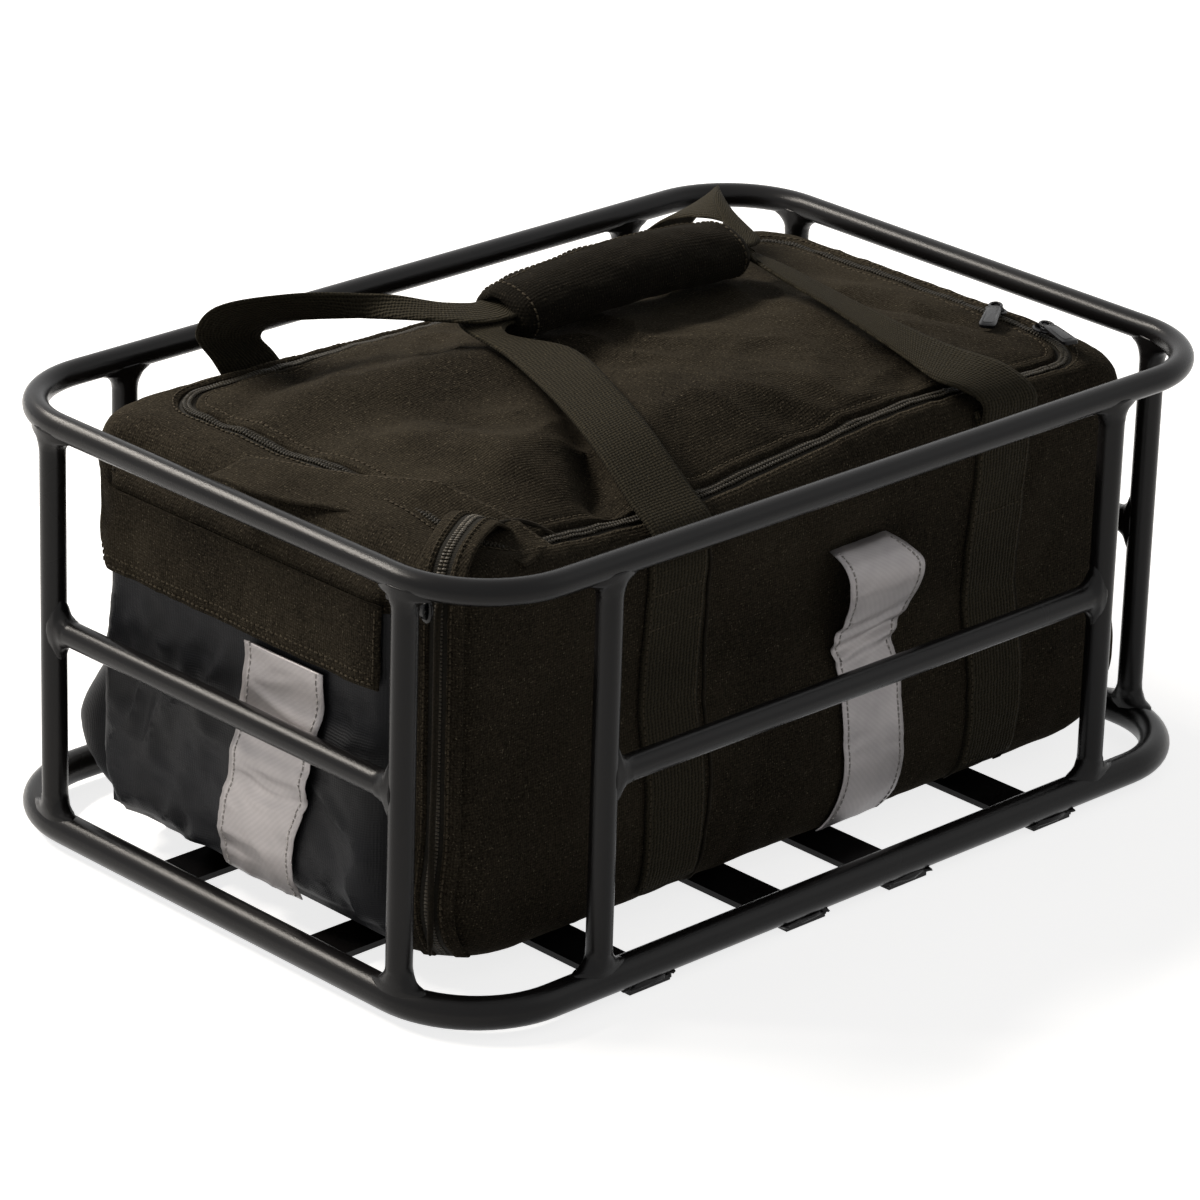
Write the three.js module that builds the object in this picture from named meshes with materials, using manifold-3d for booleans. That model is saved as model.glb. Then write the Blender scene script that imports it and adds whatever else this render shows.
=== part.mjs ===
// Welded tube cargo basket with a fitted duffel bag.
// Millimetres, +Z up. X runs along the long side, Y across it, and the origin is on
// the ground under the middle of the basket. The -Y side is the front, -X the pocket end.

import * as THREE from 'three';
import { mergeVertices } from 'three/addons/utils/BufferGeometryUtils.js';
import Module from 'manifold-3d';

const wasm = await Module();
wasm.setup();

// ---- Driving sizes ----

const GAP = 0.3;             // left between pieces that are welded, sewn or stacked
const SEWN_STAND = 0.5;      // from the bag's faceted sides to what is sewn on them

// Basket
const RIM_LENGTH = 500;      // between tube centre lines
const RIM_WIDTH = 340;
const RIM_CORNER = 52;       // centre-line radius of the bends
const RIM_HEIGHT = 207;      // from the base rim's axis to the top rim's axis
const TUBE = 12.7;           // top rim, posts and mid rails, outside diameter
const BASE_TUBE = 15.9;      // base rim, outside diameter
const WALL = 1.5;
const VENT = 5;              // bleed hole from a rim into each post
const DRAIN = 4;             // drain hole low on one front post
const DRAIN_RISE = 8;        // above the base rim
const END_POST_Y = 124;      // posts of the short sides
const SIDE_POST_X = 168;     // posts of the long sides
const MID_RAIL_SHARE = 0.5;  // height of the mid rails between the two rims

// Floor slats
const SLAT_THICK = 3;
const CROSS_SLAT_WIDTH = 26;
const CROSS_SLAT_X = [-138, -35, 35, 138];
const CROSS_SLAT_OVERHANG = 4;   // past the base rim's axis
const LONG_SLAT_WIDTH = 25;
const LONG_SLAT_Y = 53;

// Bag
const BAG_CLEARANCE = { left: 17.65, right: 5.65, side: 30.65 };   // to the inside of the top rim
const BAG_SIDE_HEIGHT = 213;
const BAG_CROWN = 11;        // rise of the top's middle over its edge
const BAG_CORNER = 24;       // upright corners
// Height, side inset and end inset of the sewn body, from the bottom up.
const BAG_PROFILE = [
  [0, 26, 24],
  [6, 12, 12],
  [16, 4, 4],
  [34, 0, 0],
  [BAG_SIDE_HEIGHT * 0.3, 0, 0],
  [BAG_SIDE_HEIGHT * 0.49, 7, 0],
  [BAG_SIDE_HEIGHT * 0.7, 5, 0],
  [BAG_SIDE_HEIGHT - 23, 3, 0],
  [BAG_SIDE_HEIGHT - 9, 5, 3],
  [BAG_SIDE_HEIGHT - 3, 8, 7],
  [BAG_SIDE_HEIGHT, 12, 12],
];

// Lid and its zip
const LID_MARGIN = { left: 26, right: 16, side: 14 };   // from the top's edge to the lid
const LID_CORNER = 22;
const LID_DEPTH = 16;        // of the lid panel under the top's edge
const ZIP_TAPE = 8;
const ZIP_THICK = 2.5;

// Pocket end. Margins are in from the bag's side, and drops are down from its top edge.
const POCKET = { nearMargin: 40, farMargin: 25, bottom: 16, topDrop: 23, thick: 6.5, bulge: 4 };
const POCKET_FLAT = 6;       // stretch of flat face that shows under the flap
const POCKET_ROUND = 4.5;    // height of the rounding at the pocket's top
const POCKET_ZIP = { margin: 27, bottom: 18, topDrop: 10 };
const FLAP = { nearMargin: 43, farMargin: 21, topDrop: 30, length: 41, thick: 2.5, cut: 10 };
const FLAP_BEAD = 2.3;       // radius of the rolled fold that the flap hangs from

// Webbing and reflective tape
const WEB_WIDTH = 38;
const WEB_THICK = 2.5;
const SEWN_THICK = 1.6;
const SEWN_BOTTOM = 34;      // above the bag's bottom
const SEWN_DROP = 13;        // of the bands' ends under the top's edge
const NEAR_STRAP_X = { left: -85, right: 135 };
const FAR_STRAP_X = { left: -115, right: 150 };
const TAPE_THICK = 1.5;
const END_TAPE = { width: 54, bottomY: -2, topY: -18, bottom: 24, underFlap: 14 };
const SIDE_TAPE = { x: 44, width: 41, bottom: 24 };
// Share of the bag's side height, and how far the front tape stands off there.
const SIDE_TAPE_STAND = [
  [0.49, 0], [0.545, 3], [0.6, 10], [0.667, 15], [0.732, 13], [0.78, 7], [0.817, 0],
];

// Grip
const GRIP = { left: -36, right: 119, y: 47, width: 44, height: 30, aboveCrown: 0.7 };
const GRIP_WEB = 26;         // width of the folded webbing inside the grip
const HANDLE_STEPS = 56;
const GRIP_LEAD = 0.04;      // share of the grip's length that the webbing runs straight before it

// Zip sliders and pulls
const SLIDER = { along: 13, across: 9, tall: 4.5 };
const PULL_THICK = 2.2;
const PULL_EYE = 1.4;        // radius
const PULL_WIDTH = 9;
const MAIN_SLIDERS = [
  { name: 'a', y: -50, heading: -145, length: 36, droop: 3.5 },
  { name: 'b', y: -82, heading: -112, length: 32, droop: 3.5 },
];
const POCKET_SLIDER_DROP = 10;   // under the top end of the pocket's zip
const POCKET_PULL_LENGTH = 12;

// ---- Worked-out heights and places ----

const baseAxisZ = SLAT_THICK + GAP + BASE_TUBE / 2;
const topAxisZ = baseAxisZ + RIM_HEIGHT;
const midAxisZ = baseAxisZ + RIM_HEIGHT * MID_RAIL_SHARE;
const longSlatZ = SLAT_THICK + GAP;
const bagZ = longSlatZ + SLAT_THICK + GAP;

const bagLeft = -(RIM_LENGTH - TUBE) / 2 + BAG_CLEARANCE.left;
const bagRight = (RIM_LENGTH - TUBE) / 2 - BAG_CLEARANCE.right;
const bagHalfWidth = (RIM_WIDTH - TUBE) / 2 - BAG_CLEARANCE.side;
const topRow = BAG_PROFILE[BAG_PROFILE.length - 1];
const topEdgeZ = bagZ + BAG_SIDE_HEIGHT;
const bagMiddleX = (bagLeft + bagRight) / 2;
const bagHalfLength = (bagRight - bagLeft) / 2;
const topHalfLength = bagHalfLength - topRow[2];
const topHalfWidth = bagHalfWidth - topRow[1];

const lidLeft = bagMiddleX - topHalfLength + LID_MARGIN.left;
const lidRight = bagMiddleX + topHalfLength - LID_MARGIN.right;
const lidHalfWidth = topHalfWidth - LID_MARGIN.side;
const zipRunX = lidRight + GAP + ZIP_TAPE / 2;

const pocketFace = bagLeft - GAP - POCKET.thick;
const pocketTop = BAG_SIDE_HEIGHT - POCKET.topDrop;
const pocketZipY = -bagHalfWidth + POCKET_ZIP.margin;
const pocketZipTop = BAG_SIDE_HEIGHT - POCKET_ZIP.topDrop;
const flapTop = BAG_SIDE_HEIGHT - FLAP.topDrop;
const sewnTop = BAG_SIDE_HEIGHT - SEWN_DROP;
const gripZ = topEdgeZ + BAG_CROWN + GRIP.aboveCrown + GRIP.height / 2;

// ---- Materials ----

const MATERIALS = {
  coat: { color: 0x1b1b1c, roughness: 0.45, metalness: 0.3 },
  cloth: { color: 0x1f1c17, roughness: 0.95, metalness: 0 },
  nylon: { color: 0x14151a, roughness: 0.6, metalness: 0 },
  webbing: { color: 0x25231d, roughness: 0.9, metalness: 0 },
  zip: { color: 0x191814, roughness: 0.7, metalness: 0 },
  metal: { color: 0x17171a, roughness: 0.25, metalness: 0.8 },
  reflective: { color: 0xa8a3a3, roughness: 0.45, metalness: 0.1 },
};

const model = new THREE.Group();

function add(name, look, geometry, parent = model) {
  const mesh = new THREE.Mesh(geometry, new THREE.MeshStandardMaterial(MATERIALS[look]));
  mesh.name = name;
  parent.add(mesh);
  return mesh;
}

// ---- Solids: joining, cutting and back ----

function toSolid(geometry) {
  const bare = geometry.clone();
  bare.deleteAttribute('normal');
  bare.deleteAttribute('uv');
  const merged = mergeVertices(bare, 1e-4);
  return new wasm.Manifold(new wasm.Mesh({
    numProp: 3,
    vertProperties: new Float32Array(merged.attributes.position.array),
    triVerts: new Uint32Array(merged.index.array),
  }));
}

function toGeometry(solid) {
  const mesh = solid.getMesh();
  const geometry = new THREE.BufferGeometry();
  geometry.setAttribute('position', new THREE.BufferAttribute(mesh.vertProperties, 3));
  geometry.setIndex(new THREE.BufferAttribute(mesh.triVerts, 1));
  return geometry;
}

// ---- Basic shapes ----

// Turns X to Y, Y to Z and Z to X.
const TURNED = new THREE.Matrix4().makeBasis(
  new THREE.Vector3(0, 1, 0), new THREE.Vector3(0, 0, 1), new THREE.Vector3(1, 0, 0));

function centredBox(x, y, z) {
  return new THREE.BoxGeometry(x, y, z);
}

// A round bar between two points.
function bar(from, to, radius, sides = 12) {
  const along = to.clone().sub(from);
  const geometry = new THREE.CylinderGeometry(radius, radius, along.length(), sides);
  const turn = new THREE.Quaternion().setFromUnitVectors(
    new THREE.Vector3(0, 1, 0), along.clone().normalize());
  geometry.applyQuaternion(turn);
  const middle = from.clone().add(to).multiplyScalar(0.5);
  geometry.translate(middle.x, middle.y, middle.z);
  return geometry;
}

function roundedOutline(left, right, halfWidth, corner) {
  const shape = new THREE.Shape();
  const h = halfWidth;
  shape.moveTo(left + corner, -h);
  shape.lineTo(right - corner, -h);
  shape.absarc(right - corner, -h + corner, corner, -Math.PI / 2, 0);
  shape.lineTo(right, h - corner);
  shape.absarc(right - corner, h - corner, corner, 0, Math.PI / 2);
  shape.lineTo(left + corner, h);
  shape.absarc(left + corner, h - corner, corner, Math.PI / 2, Math.PI);
  shape.lineTo(left, -h + corner);
  shape.absarc(left + corner, -h + corner, corner, Math.PI, Math.PI * 1.5);
  return shape;
}

function prism(shape, bottom, height) {
  const geometry = new THREE.ExtrudeGeometry(
    shape, { depth: height, bevelEnabled: false, curveSegments: 4 });
  geometry.translate(0, 0, bottom);
  return geometry;
}

// A flat strip whose two edges run through matching points.
function ribbon(edgeA, edgeB, thickness) {
  const steps = edgeA.length - 1;
  const geometry = new THREE.BoxGeometry(1, 1, 1, steps, 1, 1);
  const position = geometry.attributes.position;
  const middles = edgeA.map((a, i) => a.clone().add(edgeB[i]).multiplyScalar(0.5));
  for (let i = 0; i < position.count; i += 1) {
    const step = Math.round((position.getX(i) + 0.5) * steps);
    const before = middles[Math.max(step - 1, 0)];
    const after = middles[Math.min(step + 1, steps)];
    const across = edgeB[step].clone().sub(edgeA[step]);
    const normal = after.clone().sub(before).cross(across).normalize();
    const point = edgeA[step].clone().addScaledVector(across, position.getY(i) + 0.5);
    point.addScaledVector(normal, position.getZ(i) * thickness);
    position.setXYZ(i, point.x, point.y, point.z);
  }
  return geometry;
}

function points(list) {
  return list.map(([x, y, z]) => new THREE.Vector3(x, y, z));
}

function smooth(list, steps) {
  return new THREE.CatmullRomCurve3(points(list), false, 'centripetal').getPoints(steps);
}

// ---- Basket ----

// A closed ring of tube on a rounded rectangle. A torus is opened out at its quarters.
function rimRing(radius, axisZ, sides) {
  const bendSteps = 6;
  const rings = 4 * (bendSteps + 1);
  const geometry = new THREE.TorusGeometry(RIM_CORNER, radius, sides, rings);
  const position = geometry.attributes.position;
  const shiftX = RIM_LENGTH / 2 - RIM_CORNER;
  const shiftY = RIM_WIDTH / 2 - RIM_CORNER;
  for (let i = 0; i < position.count; i += 1) {
    const place = i % (rings + 1) % rings;
    const quarter = Math.floor(place / (bendSteps + 1));
    const angle = (quarter + (place % (bendSteps + 1)) / bendSteps) * Math.PI / 2;
    const reach = new THREE.Vector2(position.getX(i), position.getY(i)).length();
    const middle = (quarter + 0.5) * Math.PI / 2;
    const x = Math.sign(Math.cos(middle)) * shiftX + reach * Math.cos(angle);
    const y = Math.sign(Math.sin(middle)) * shiftY + reach * Math.sin(angle);
    position.setXYZ(i, x, y, position.getZ(i) + axisZ);
  }
  return geometry;
}

// The rim's centre line at a given Y on a short side, bends included.
function endRimX(y) {
  const past = Math.max(Math.abs(y) - (RIM_WIDTH / 2 - RIM_CORNER), 0);
  return RIM_LENGTH / 2 - RIM_CORNER + Math.sqrt(RIM_CORNER ** 2 - past ** 2);
}

const POSTS = [
  ['post_left_front', -endRimX(END_POST_Y), -END_POST_Y],
  ['post_left_rear', -endRimX(END_POST_Y), END_POST_Y],
  ['post_right_front', endRimX(END_POST_Y), -END_POST_Y],
  ['post_right_rear', endRimX(END_POST_Y), END_POST_Y],
  ['post_front_left', -SIDE_POST_X, -RIM_WIDTH / 2],
  ['post_front_right', SIDE_POST_X, -RIM_WIDTH / 2],
  ['post_rear_left', -SIDE_POST_X, RIM_WIDTH / 2],
  ['post_rear_right', SIDE_POST_X, RIM_WIDTH / 2],
];

function postBar(x, y, radius, sides) {
  const bottom = new THREE.Vector3(x, y, baseAxisZ);
  const top = new THREE.Vector3(x, y, topAxisZ);
  return toSolid(bar(bottom, top, radius, sides));
}

// One vent hole per post, through the rim's wall on the side that faces the post.
function vents(axisZ, way) {
  return POSTS.map(([, x, y]) => {
    const inner = new THREE.Vector3(x, y, axisZ);
    const outer = new THREE.Vector3(x, y, axisZ + way * BASE_TUBE);
    return toSolid(bar(inner, outer, VENT / 2, 6));
  });
}

function addRims() {
  const rims = [
    ['top_rim', TUBE, topAxisZ, -1],
    ['base_rim', BASE_TUBE, baseAxisZ, 1],
  ];
  for (const [name, tube, axisZ, way] of rims) {
    let rim = toSolid(rimRing(tube / 2, axisZ, 12));
    rim = rim.subtract(toSolid(rimRing(tube / 2 - WALL, axisZ, 8)));
    for (const vent of vents(axisZ, way)) {
      rim = rim.subtract(vent);
    }
    add(name, 'coat', toGeometry(rim));
  }
}

function addPosts() {
  const topCope = toSolid(rimRing(TUBE / 2 + GAP, topAxisZ, 12));
  const baseCope = toSolid(rimRing(BASE_TUBE / 2 + GAP, baseAxisZ, 12));
  for (const [name, x, y] of POSTS) {
    let post = postBar(x, y, TUBE / 2, 12).subtract(topCope).subtract(baseCope);
    post = post.subtract(postBar(x, y, TUBE / 2 - WALL, 8));
    if (name === 'post_front_right') {
      const z = baseAxisZ + BASE_TUBE / 2 + DRAIN_RISE;
      const middle = new THREE.Vector3(x, y, z);
      const outside = new THREE.Vector3(x, y - TUBE, z);
      post = post.subtract(toSolid(bar(middle, outside, DRAIN / 2, 8)));
    }
    add(name, 'coat', toGeometry(post));
  }
}

function addMidRails() {
  const sideY = RIM_WIDTH / 2;
  const endX = endRimX(END_POST_Y);
  const rails = [
    ['mid_rail_front', [-SIDE_POST_X, -sideY], [SIDE_POST_X, -sideY]],
    ['mid_rail_rear', [-SIDE_POST_X, sideY], [SIDE_POST_X, sideY]],
    ['mid_rail_left', [-endX, -END_POST_Y], [-endX, END_POST_Y]],
    ['mid_rail_right', [endX, -END_POST_Y], [endX, END_POST_Y]],
  ];
  for (const [name, a, b] of rails) {
    const from = new THREE.Vector3(a[0], a[1], midAxisZ);
    const to = new THREE.Vector3(b[0], b[1], midAxisZ);
    let rail = toSolid(bar(from, to, TUBE / 2));
    rail = rail.subtract(postBar(a[0], a[1], TUBE / 2 + GAP, 12));
    rail = rail.subtract(postBar(b[0], b[1], TUBE / 2 + GAP, 12));
    rail = rail.subtract(toSolid(bar(from, to, TUBE / 2 - WALL, 8)));
    add(name, 'coat', toGeometry(rail));
  }
}

function addSlats() {
  const crossLength = RIM_WIDTH + 2 * CROSS_SLAT_OVERHANG;
  CROSS_SLAT_X.forEach((x, i) => {
    const slat = add(`cross_slat_${i + 1}`, 'coat',
      centredBox(CROSS_SLAT_WIDTH, crossLength, SLAT_THICK));
    slat.position.set(x, 0, SLAT_THICK / 2);
  });
  // The long slats stop just short of the base rim's lower inside.
  const slatTop = longSlatZ + SLAT_THICK;
  const tubeReach = Math.sqrt((BASE_TUBE / 2) ** 2 - (baseAxisZ - slatTop) ** 2);
  const longLength = RIM_LENGTH - 2 * (tubeReach + GAP);
  for (const [name, side] of [['long_slat_front', -1], ['long_slat_rear', 1]]) {
    const slat = add(name, 'coat', centredBox(longLength, LONG_SLAT_WIDTH, SLAT_THICK));
    slat.position.set(0, side * LONG_SLAT_Y, longSlatZ + SLAT_THICK / 2);
  }
}

// ---- Bag body ----

// A column of a table between its rows, by the row's first value.
function interpolate(rows, at, column) {
  const i = rows.findIndex((row) => row[0] >= at);
  if (i <= 0) {
    return rows[0][column];
  }
  const [low, high] = [rows[i - 1], rows[i]];
  return THREE.MathUtils.mapLinear(at, low[0], high[0], low[column], high[column]);
}

// Half the bag's width at a height above its bottom.
const sideAt = (height) => bagHalfWidth - interpolate(BAG_PROFILE, height, 1);

// The heights at which something sewn to the side has to bend.
function heightsBetween(bottom, top, extra = []) {
  const rows = [...BAG_PROFILE.map((row) => row[0]), ...extra];
  const inside = rows.filter((height) => height > bottom && height < top);
  return [bottom, ...inside.sort((a, b) => a - b), top];
}

// Height of the crowned top.
function topZ(x, y) {
  const ring = Math.max(Math.abs(x - bagMiddleX) / topHalfLength, Math.abs(y) / topHalfWidth);
  return topEdgeZ + BAG_CROWN * (1 - ring ** 2);
}

// The whole bag as one crowned, round-cornered solid.
function bagEnvelope() {
  const layers = BAG_PROFILE.length - 1;
  const geometry = new THREE.BoxGeometry(2, 2, layers, 12, 8, layers);
  const position = geometry.attributes.position;
  for (let i = 0; i < position.count; i += 1) {
    const [u, v] = [position.getX(i), position.getY(i)];
    const layer = Math.round(position.getZ(i) + layers / 2);
    const [height, sideInset, endInset] = BAG_PROFILE[layer];
    const ring = Math.max(Math.abs(u), Math.abs(v));
    const halfX = bagHalfLength - endInset;
    const halfY = bagHalfWidth - sideInset;
    const inner = new THREE.Vector2(
      THREE.MathUtils.clamp(u * halfX, -ring * (halfX - BAG_CORNER), ring * (halfX - BAG_CORNER)),
      THREE.MathUtils.clamp(v * halfY, -ring * (halfY - BAG_CORNER), ring * (halfY - BAG_CORNER)));
    const out = new THREE.Vector2(u * halfX, v * halfY).sub(inner);
    inner.addScaledVector(out.normalize(), ring * BAG_CORNER);
    const crown = layer === layers ? BAG_CROWN * (1 - ring ** 2) : 0;
    position.setXYZ(i, bagMiddleX + inner.x, inner.y, bagZ + height + crown);
  }
  return toSolid(geometry);
}

function lidPrism(grow, bottom) {
  const outline = roundedOutline(
    lidLeft - grow, lidRight + grow, lidHalfWidth + grow, LID_CORNER + grow);
  return toSolid(prism(outline, bottom, LID_DEPTH + 2 * BAG_CROWN));
}

function addBagBody() {
  const envelope = bagEnvelope();
  const floorZ = topEdgeZ - LID_DEPTH;
  const zipGrow = GAP + ZIP_TAPE;
  const zipBand = lidPrism(zipGrow, floorZ).subtract(lidPrism(GAP, floorZ - 1));
  const underZip = envelope.translate([0, 0, -ZIP_THICK]);
  const underGroove = envelope.translate([0, 0, -ZIP_THICK - GAP]);
  const groove = lidPrism(zipGrow + GAP, floorZ).subtract(underGroove);

  const shell = envelope.subtract(lidPrism(GAP, floorZ)).subtract(groove);
  const lid = envelope.intersect(lidPrism(0, floorZ + GAP));
  const zip = envelope.intersect(zipBand).subtract(underZip);
  add('bag_shell', 'cloth', toGeometry(shell));
  add('lid_panel', 'cloth', toGeometry(lid));
  add('main_zip', 'zip', toGeometry(zip));
}

// ---- Pocket end ----

// Height above the bag's bottom and the pocket face's X there. It bulges under the flap's edge.
function pocketProfile() {
  const { bottom, bulge } = POCKET;
  const rise = flapTop - FLAP.length - POCKET_FLAT - bottom;
  const bulged = [[0, -3], [0.09, 0], [0.2, bulge * 0.7], [0.43, bulge], [0.72, bulge * 0.8],
    [0.9, bulge * 0.2], [1, 0]];
  return [
    ...bulged.map(([share, out]) => [bottom + share * rise, pocketFace - out]),
    [pocketTop - POCKET_ROUND, pocketFace],
    [pocketTop, pocketFace + POCKET_ROUND / 3],
  ];
}

function addPocket() {
  const shape = new THREE.Shape();
  const back = bagLeft - GAP;
  const profile = pocketProfile();
  shape.moveTo(back, bagZ + profile[0][0]);
  for (const [height, x] of profile) {
    shape.lineTo(x, bagZ + height);
  }
  shape.lineTo(back, bagZ + profile[profile.length - 1][0]);
  const width = 2 * bagHalfWidth - POCKET.nearMargin - POCKET.farMargin;
  const geometry = new THREE.ExtrudeGeometry(shape, { depth: width, bevelEnabled: false });
  geometry.rotateX(Math.PI / 2);
  geometry.translate(0, bagHalfWidth - POCKET.farMargin, 0);
  add('end_pocket', 'nylon', geometry);
}

function addPocketZip() {
  const x = bagLeft - GAP - ZIP_THICK / 2;
  const height = pocketZipTop - POCKET_ZIP.bottom;
  const zip = add('pocket_zip', 'zip', centredBox(ZIP_THICK, ZIP_TAPE, height));
  zip.position.set(x, pocketZipY, bagZ + POCKET_ZIP.bottom + height / 2);
}

function addEndTape() {
  const top = flapTop - FLAP.length + END_TAPE.underFlap;
  const face = pocketProfile().filter(([height]) => height > END_TAPE.bottom && height < top);
  const stand = SEWN_STAND + TAPE_THICK / 2;
  const slope = (END_TAPE.topY - END_TAPE.bottomY) / (top - END_TAPE.bottom);
  const edge = (side) => face.map(([height, x]) => {
    const y = END_TAPE.bottomY + (height - END_TAPE.bottom) * slope;
    return new THREE.Vector3(x - stand, y + side * END_TAPE.width / 2, bagZ + height);
  });
  add('end_reflective_tape', 'reflective', ribbon(edge(-1), edge(1), TAPE_THICK));
}

// The flap is drawn hanging from its bead, which is the hinge line.
function addFlap() {
  const near = -bagHalfWidth + FLAP.nearMargin;
  const far = bagHalfWidth - FLAP.farMargin;
  const shape = new THREE.Shape();
  shape.moveTo(near, 0);
  shape.lineTo(near, -FLAP.length);
  shape.lineTo(far - FLAP.cut, -FLAP.length);
  shape.lineTo(far, -FLAP.length + FLAP.cut);
  shape.lineTo(far, 0);
  shape.closePath();
  const sheet = new THREE.ExtrudeGeometry(shape, { depth: FLAP.thick, bevelEnabled: false });
  sheet.applyMatrix4(TURNED);
  sheet.translate(-FLAP.thick / 2, 0, 0);
  const bead = bar(new THREE.Vector3(0, near, 0), new THREE.Vector3(0, far, 0), FLAP_BEAD, 10);
  const flap = add('end_flap', 'cloth', toGeometry(toSolid(sheet).add(toSolid(bead))));
  flap.position.set(pocketFace - GAP - FLAP_BEAD, 0, bagZ + flapTop);
}

// ---- Webbing ----

// Webbing sewn flat on the front or rear panel.
function addSewnBand(name, x, side) {
  const edge = (shift) => heightsBetween(SEWN_BOTTOM, sewnTop).map((height) => {
    const y = side * (sideAt(height) + SEWN_STAND + SEWN_THICK / 2);
    return new THREE.Vector3(x + shift, y, bagZ + height);
  });
  add(name, 'webbing', ribbon(edge(-WEB_WIDTH / 2), edge(WEB_WIDTH / 2), SEWN_THICK));
}

// Reflective tape on the front panel: a standing loop above, then sewn flat to its foot.
function addSideTape() {
  const bends = SIDE_TAPE_STAND.map(([share, off]) => [share * BAG_SIDE_HEIGHT, off]);
  const top = bends[bends.length - 1][0];
  const loop = bends.slice(1, -1).map((row) => row[0]);
  const edge = (shift) => heightsBetween(SIDE_TAPE.bottom, top, loop).map((height) => {
    const y = -(sideAt(height) + SEWN_STAND + TAPE_THICK / 2 + interpolate(bends, height, 1));
    return new THREE.Vector3(SIDE_TAPE.x + shift, y, bagZ + height);
  });
  const half = SIDE_TAPE.width / 2;
  add('side_reflective_tape', 'reflective', ribbon(edge(-half), edge(half), TAPE_THICK));
}

// A leg's edge from its foot at a sewn band to the grip. Each point has its share of the way
// along X, across Y and up, where 0 is the foot at the lid's edge and 1 is the grip.
const NEAR_LEGS = {
  leftOuter: [[0, 0, 0.02], [0.03, 0.1, 0.42], [0.15, 0.27, 0.54], [0.35, 0.49, 0.7],
    [0.56, 0.74, 0.86], [0.68, 0.96, 0.98]],
  leftInner: [[0, 0, 0.02], [0.07, 0.11, 0.42], [0.27, 0.3, 0.58], [0.67, 0.54, 0.74],
    [1.07, 0.79, 0.86], [0.53, 0.95, 0.98]],
  rightOuter: [[0, 0, 0.02], [0, 0.1, 0.42], [-0.03, 0.25, 0.5], [-0.09, 0.51, 0.66],
    [-0.09, 0.81, 0.86], [0.29, 0.97, 0.98]],
  rightInner: [[0, 0, 0.02], [0, 0.11, 0.42], [0.33, 0.28, 0.5], [1, 0.55, 0.66],
    [2.67, 0.81, 0.86], [5.33, 0.95, 0.98]],
};
const FAR_LEGS = {
  leftOuter: [[-0.1, 0, 0.08], [-0.24, 0.04, 0.72], [-0.22, 0.18, 1.25], [0.1, 0.44, 1.46],
    [0.57, 0.72, 1.28], [0.8, 0.92, 1.07]],
  leftInner: [[-0.17, 0, 0.01], [-0.37, 0.05, 0.44], [-0.37, 0.18, 0.79], [-0.03, 0.44, 0.93],
    [0.3, 0.75, 1.02], [0.67, 0.96, 1]],
  rightOuter: [[-0.14, 0, 0.08], [-0.3, 0.1, 0.86], [-0.06, 0.32, 1.49], [0.46, 0.66, 1.35],
    [0.66, 0.92, 1.11]],
  rightInner: [[-0.42, 0, 0.01], [-1.25, 0.11, 0.58], [-1.42, 0.46, 1.07], [-0.92, 0.77, 1.07],
    [-0.25, 0.96, 1.02]],
};
const HANDLES = [
  { name: 'near_handle', legs: NEAR_LEGS, strapX: NEAR_STRAP_X, side: -1, layer: -1 },
  { name: 'far_handle', legs: FAR_LEGS, strapX: FAR_STRAP_X, side: 1, layer: 1 },
];

function legEdge(shares, foot, end) {
  return shares.map(([x, y, z]) => [
    THREE.MathUtils.lerp(foot[0], end[0], x),
    THREE.MathUtils.lerp(foot[1], end[1], y),
    THREE.MathUtils.lerp(topEdgeZ, end[2], z)]);
}

// One edge of a handle: up the left leg, through the grip and down the right leg.
function handleEdge({ legs, strapX, side, layer }, edge) {
  const outward = edge === 'Outer' ? 1 : -1;
  const footY = side * (sideAt(sewnTop) + 2 * SEWN_STAND + WEB_THICK / 2);
  const footZ = bagZ + sewnTop + GAP;
  const leftFoot = [strapX.left - outward * WEB_WIDTH / 2, footY, footZ];
  const rightFoot = [strapX.right + outward * WEB_WIDTH / 2, footY, footZ];
  const y = GRIP.y + outward * GRIP_WEB / 2;
  const z = gripZ + layer * (WEB_THICK + GAP * 3) / 2;
  const inside = [-GRIP_LEAD, 0, 0.33, 0.67, 1, 1 + GRIP_LEAD]
    .map((share) => [THREE.MathUtils.lerp(GRIP.left, GRIP.right, share), y, z]);
  const left = legEdge(legs[`left${edge}`], leftFoot, [GRIP.left, y, z]);
  const right = legEdge(legs[`right${edge}`], rightFoot, [GRIP.right, y, z]).reverse();
  return smooth([leftFoot, ...left, ...inside, ...right, rightFoot], HANDLE_STEPS);
}

function addHandles() {
  for (const handle of HANDLES) {
    const edges = [handleEdge(handle, 'Outer'), handleEdge(handle, 'Inner')];
    add(handle.name, 'webbing', ribbon(...edges, WEB_THICK));
  }
}

function addGrip() {
  const shape = new THREE.Shape();
  shape.absellipse(0, 0, GRIP.width / 2, GRIP.height / 2, 0, Math.PI * 2);
  const slot = new THREE.Path();
  const slotY = GRIP_WEB / 2 + GAP * 2;
  const slotZ = WEB_THICK + GAP * 4;
  slot.moveTo(-slotY, -slotZ);
  slot.lineTo(-slotY, slotZ);
  slot.lineTo(slotY, slotZ);
  slot.lineTo(slotY, -slotZ);
  slot.closePath();
  shape.holes.push(slot);
  const length = GRIP.right - GRIP.left;
  const sleeve = new THREE.ExtrudeGeometry(
    shape, { depth: length, bevelEnabled: false, curveSegments: 20 });
  sleeve.applyMatrix4(TURNED);
  const grip = add('handle_grip', 'webbing', sleeve);
  grip.position.set(GRIP.left, GRIP.y, gripZ);
}

// ---- Zip sliders ----

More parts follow.
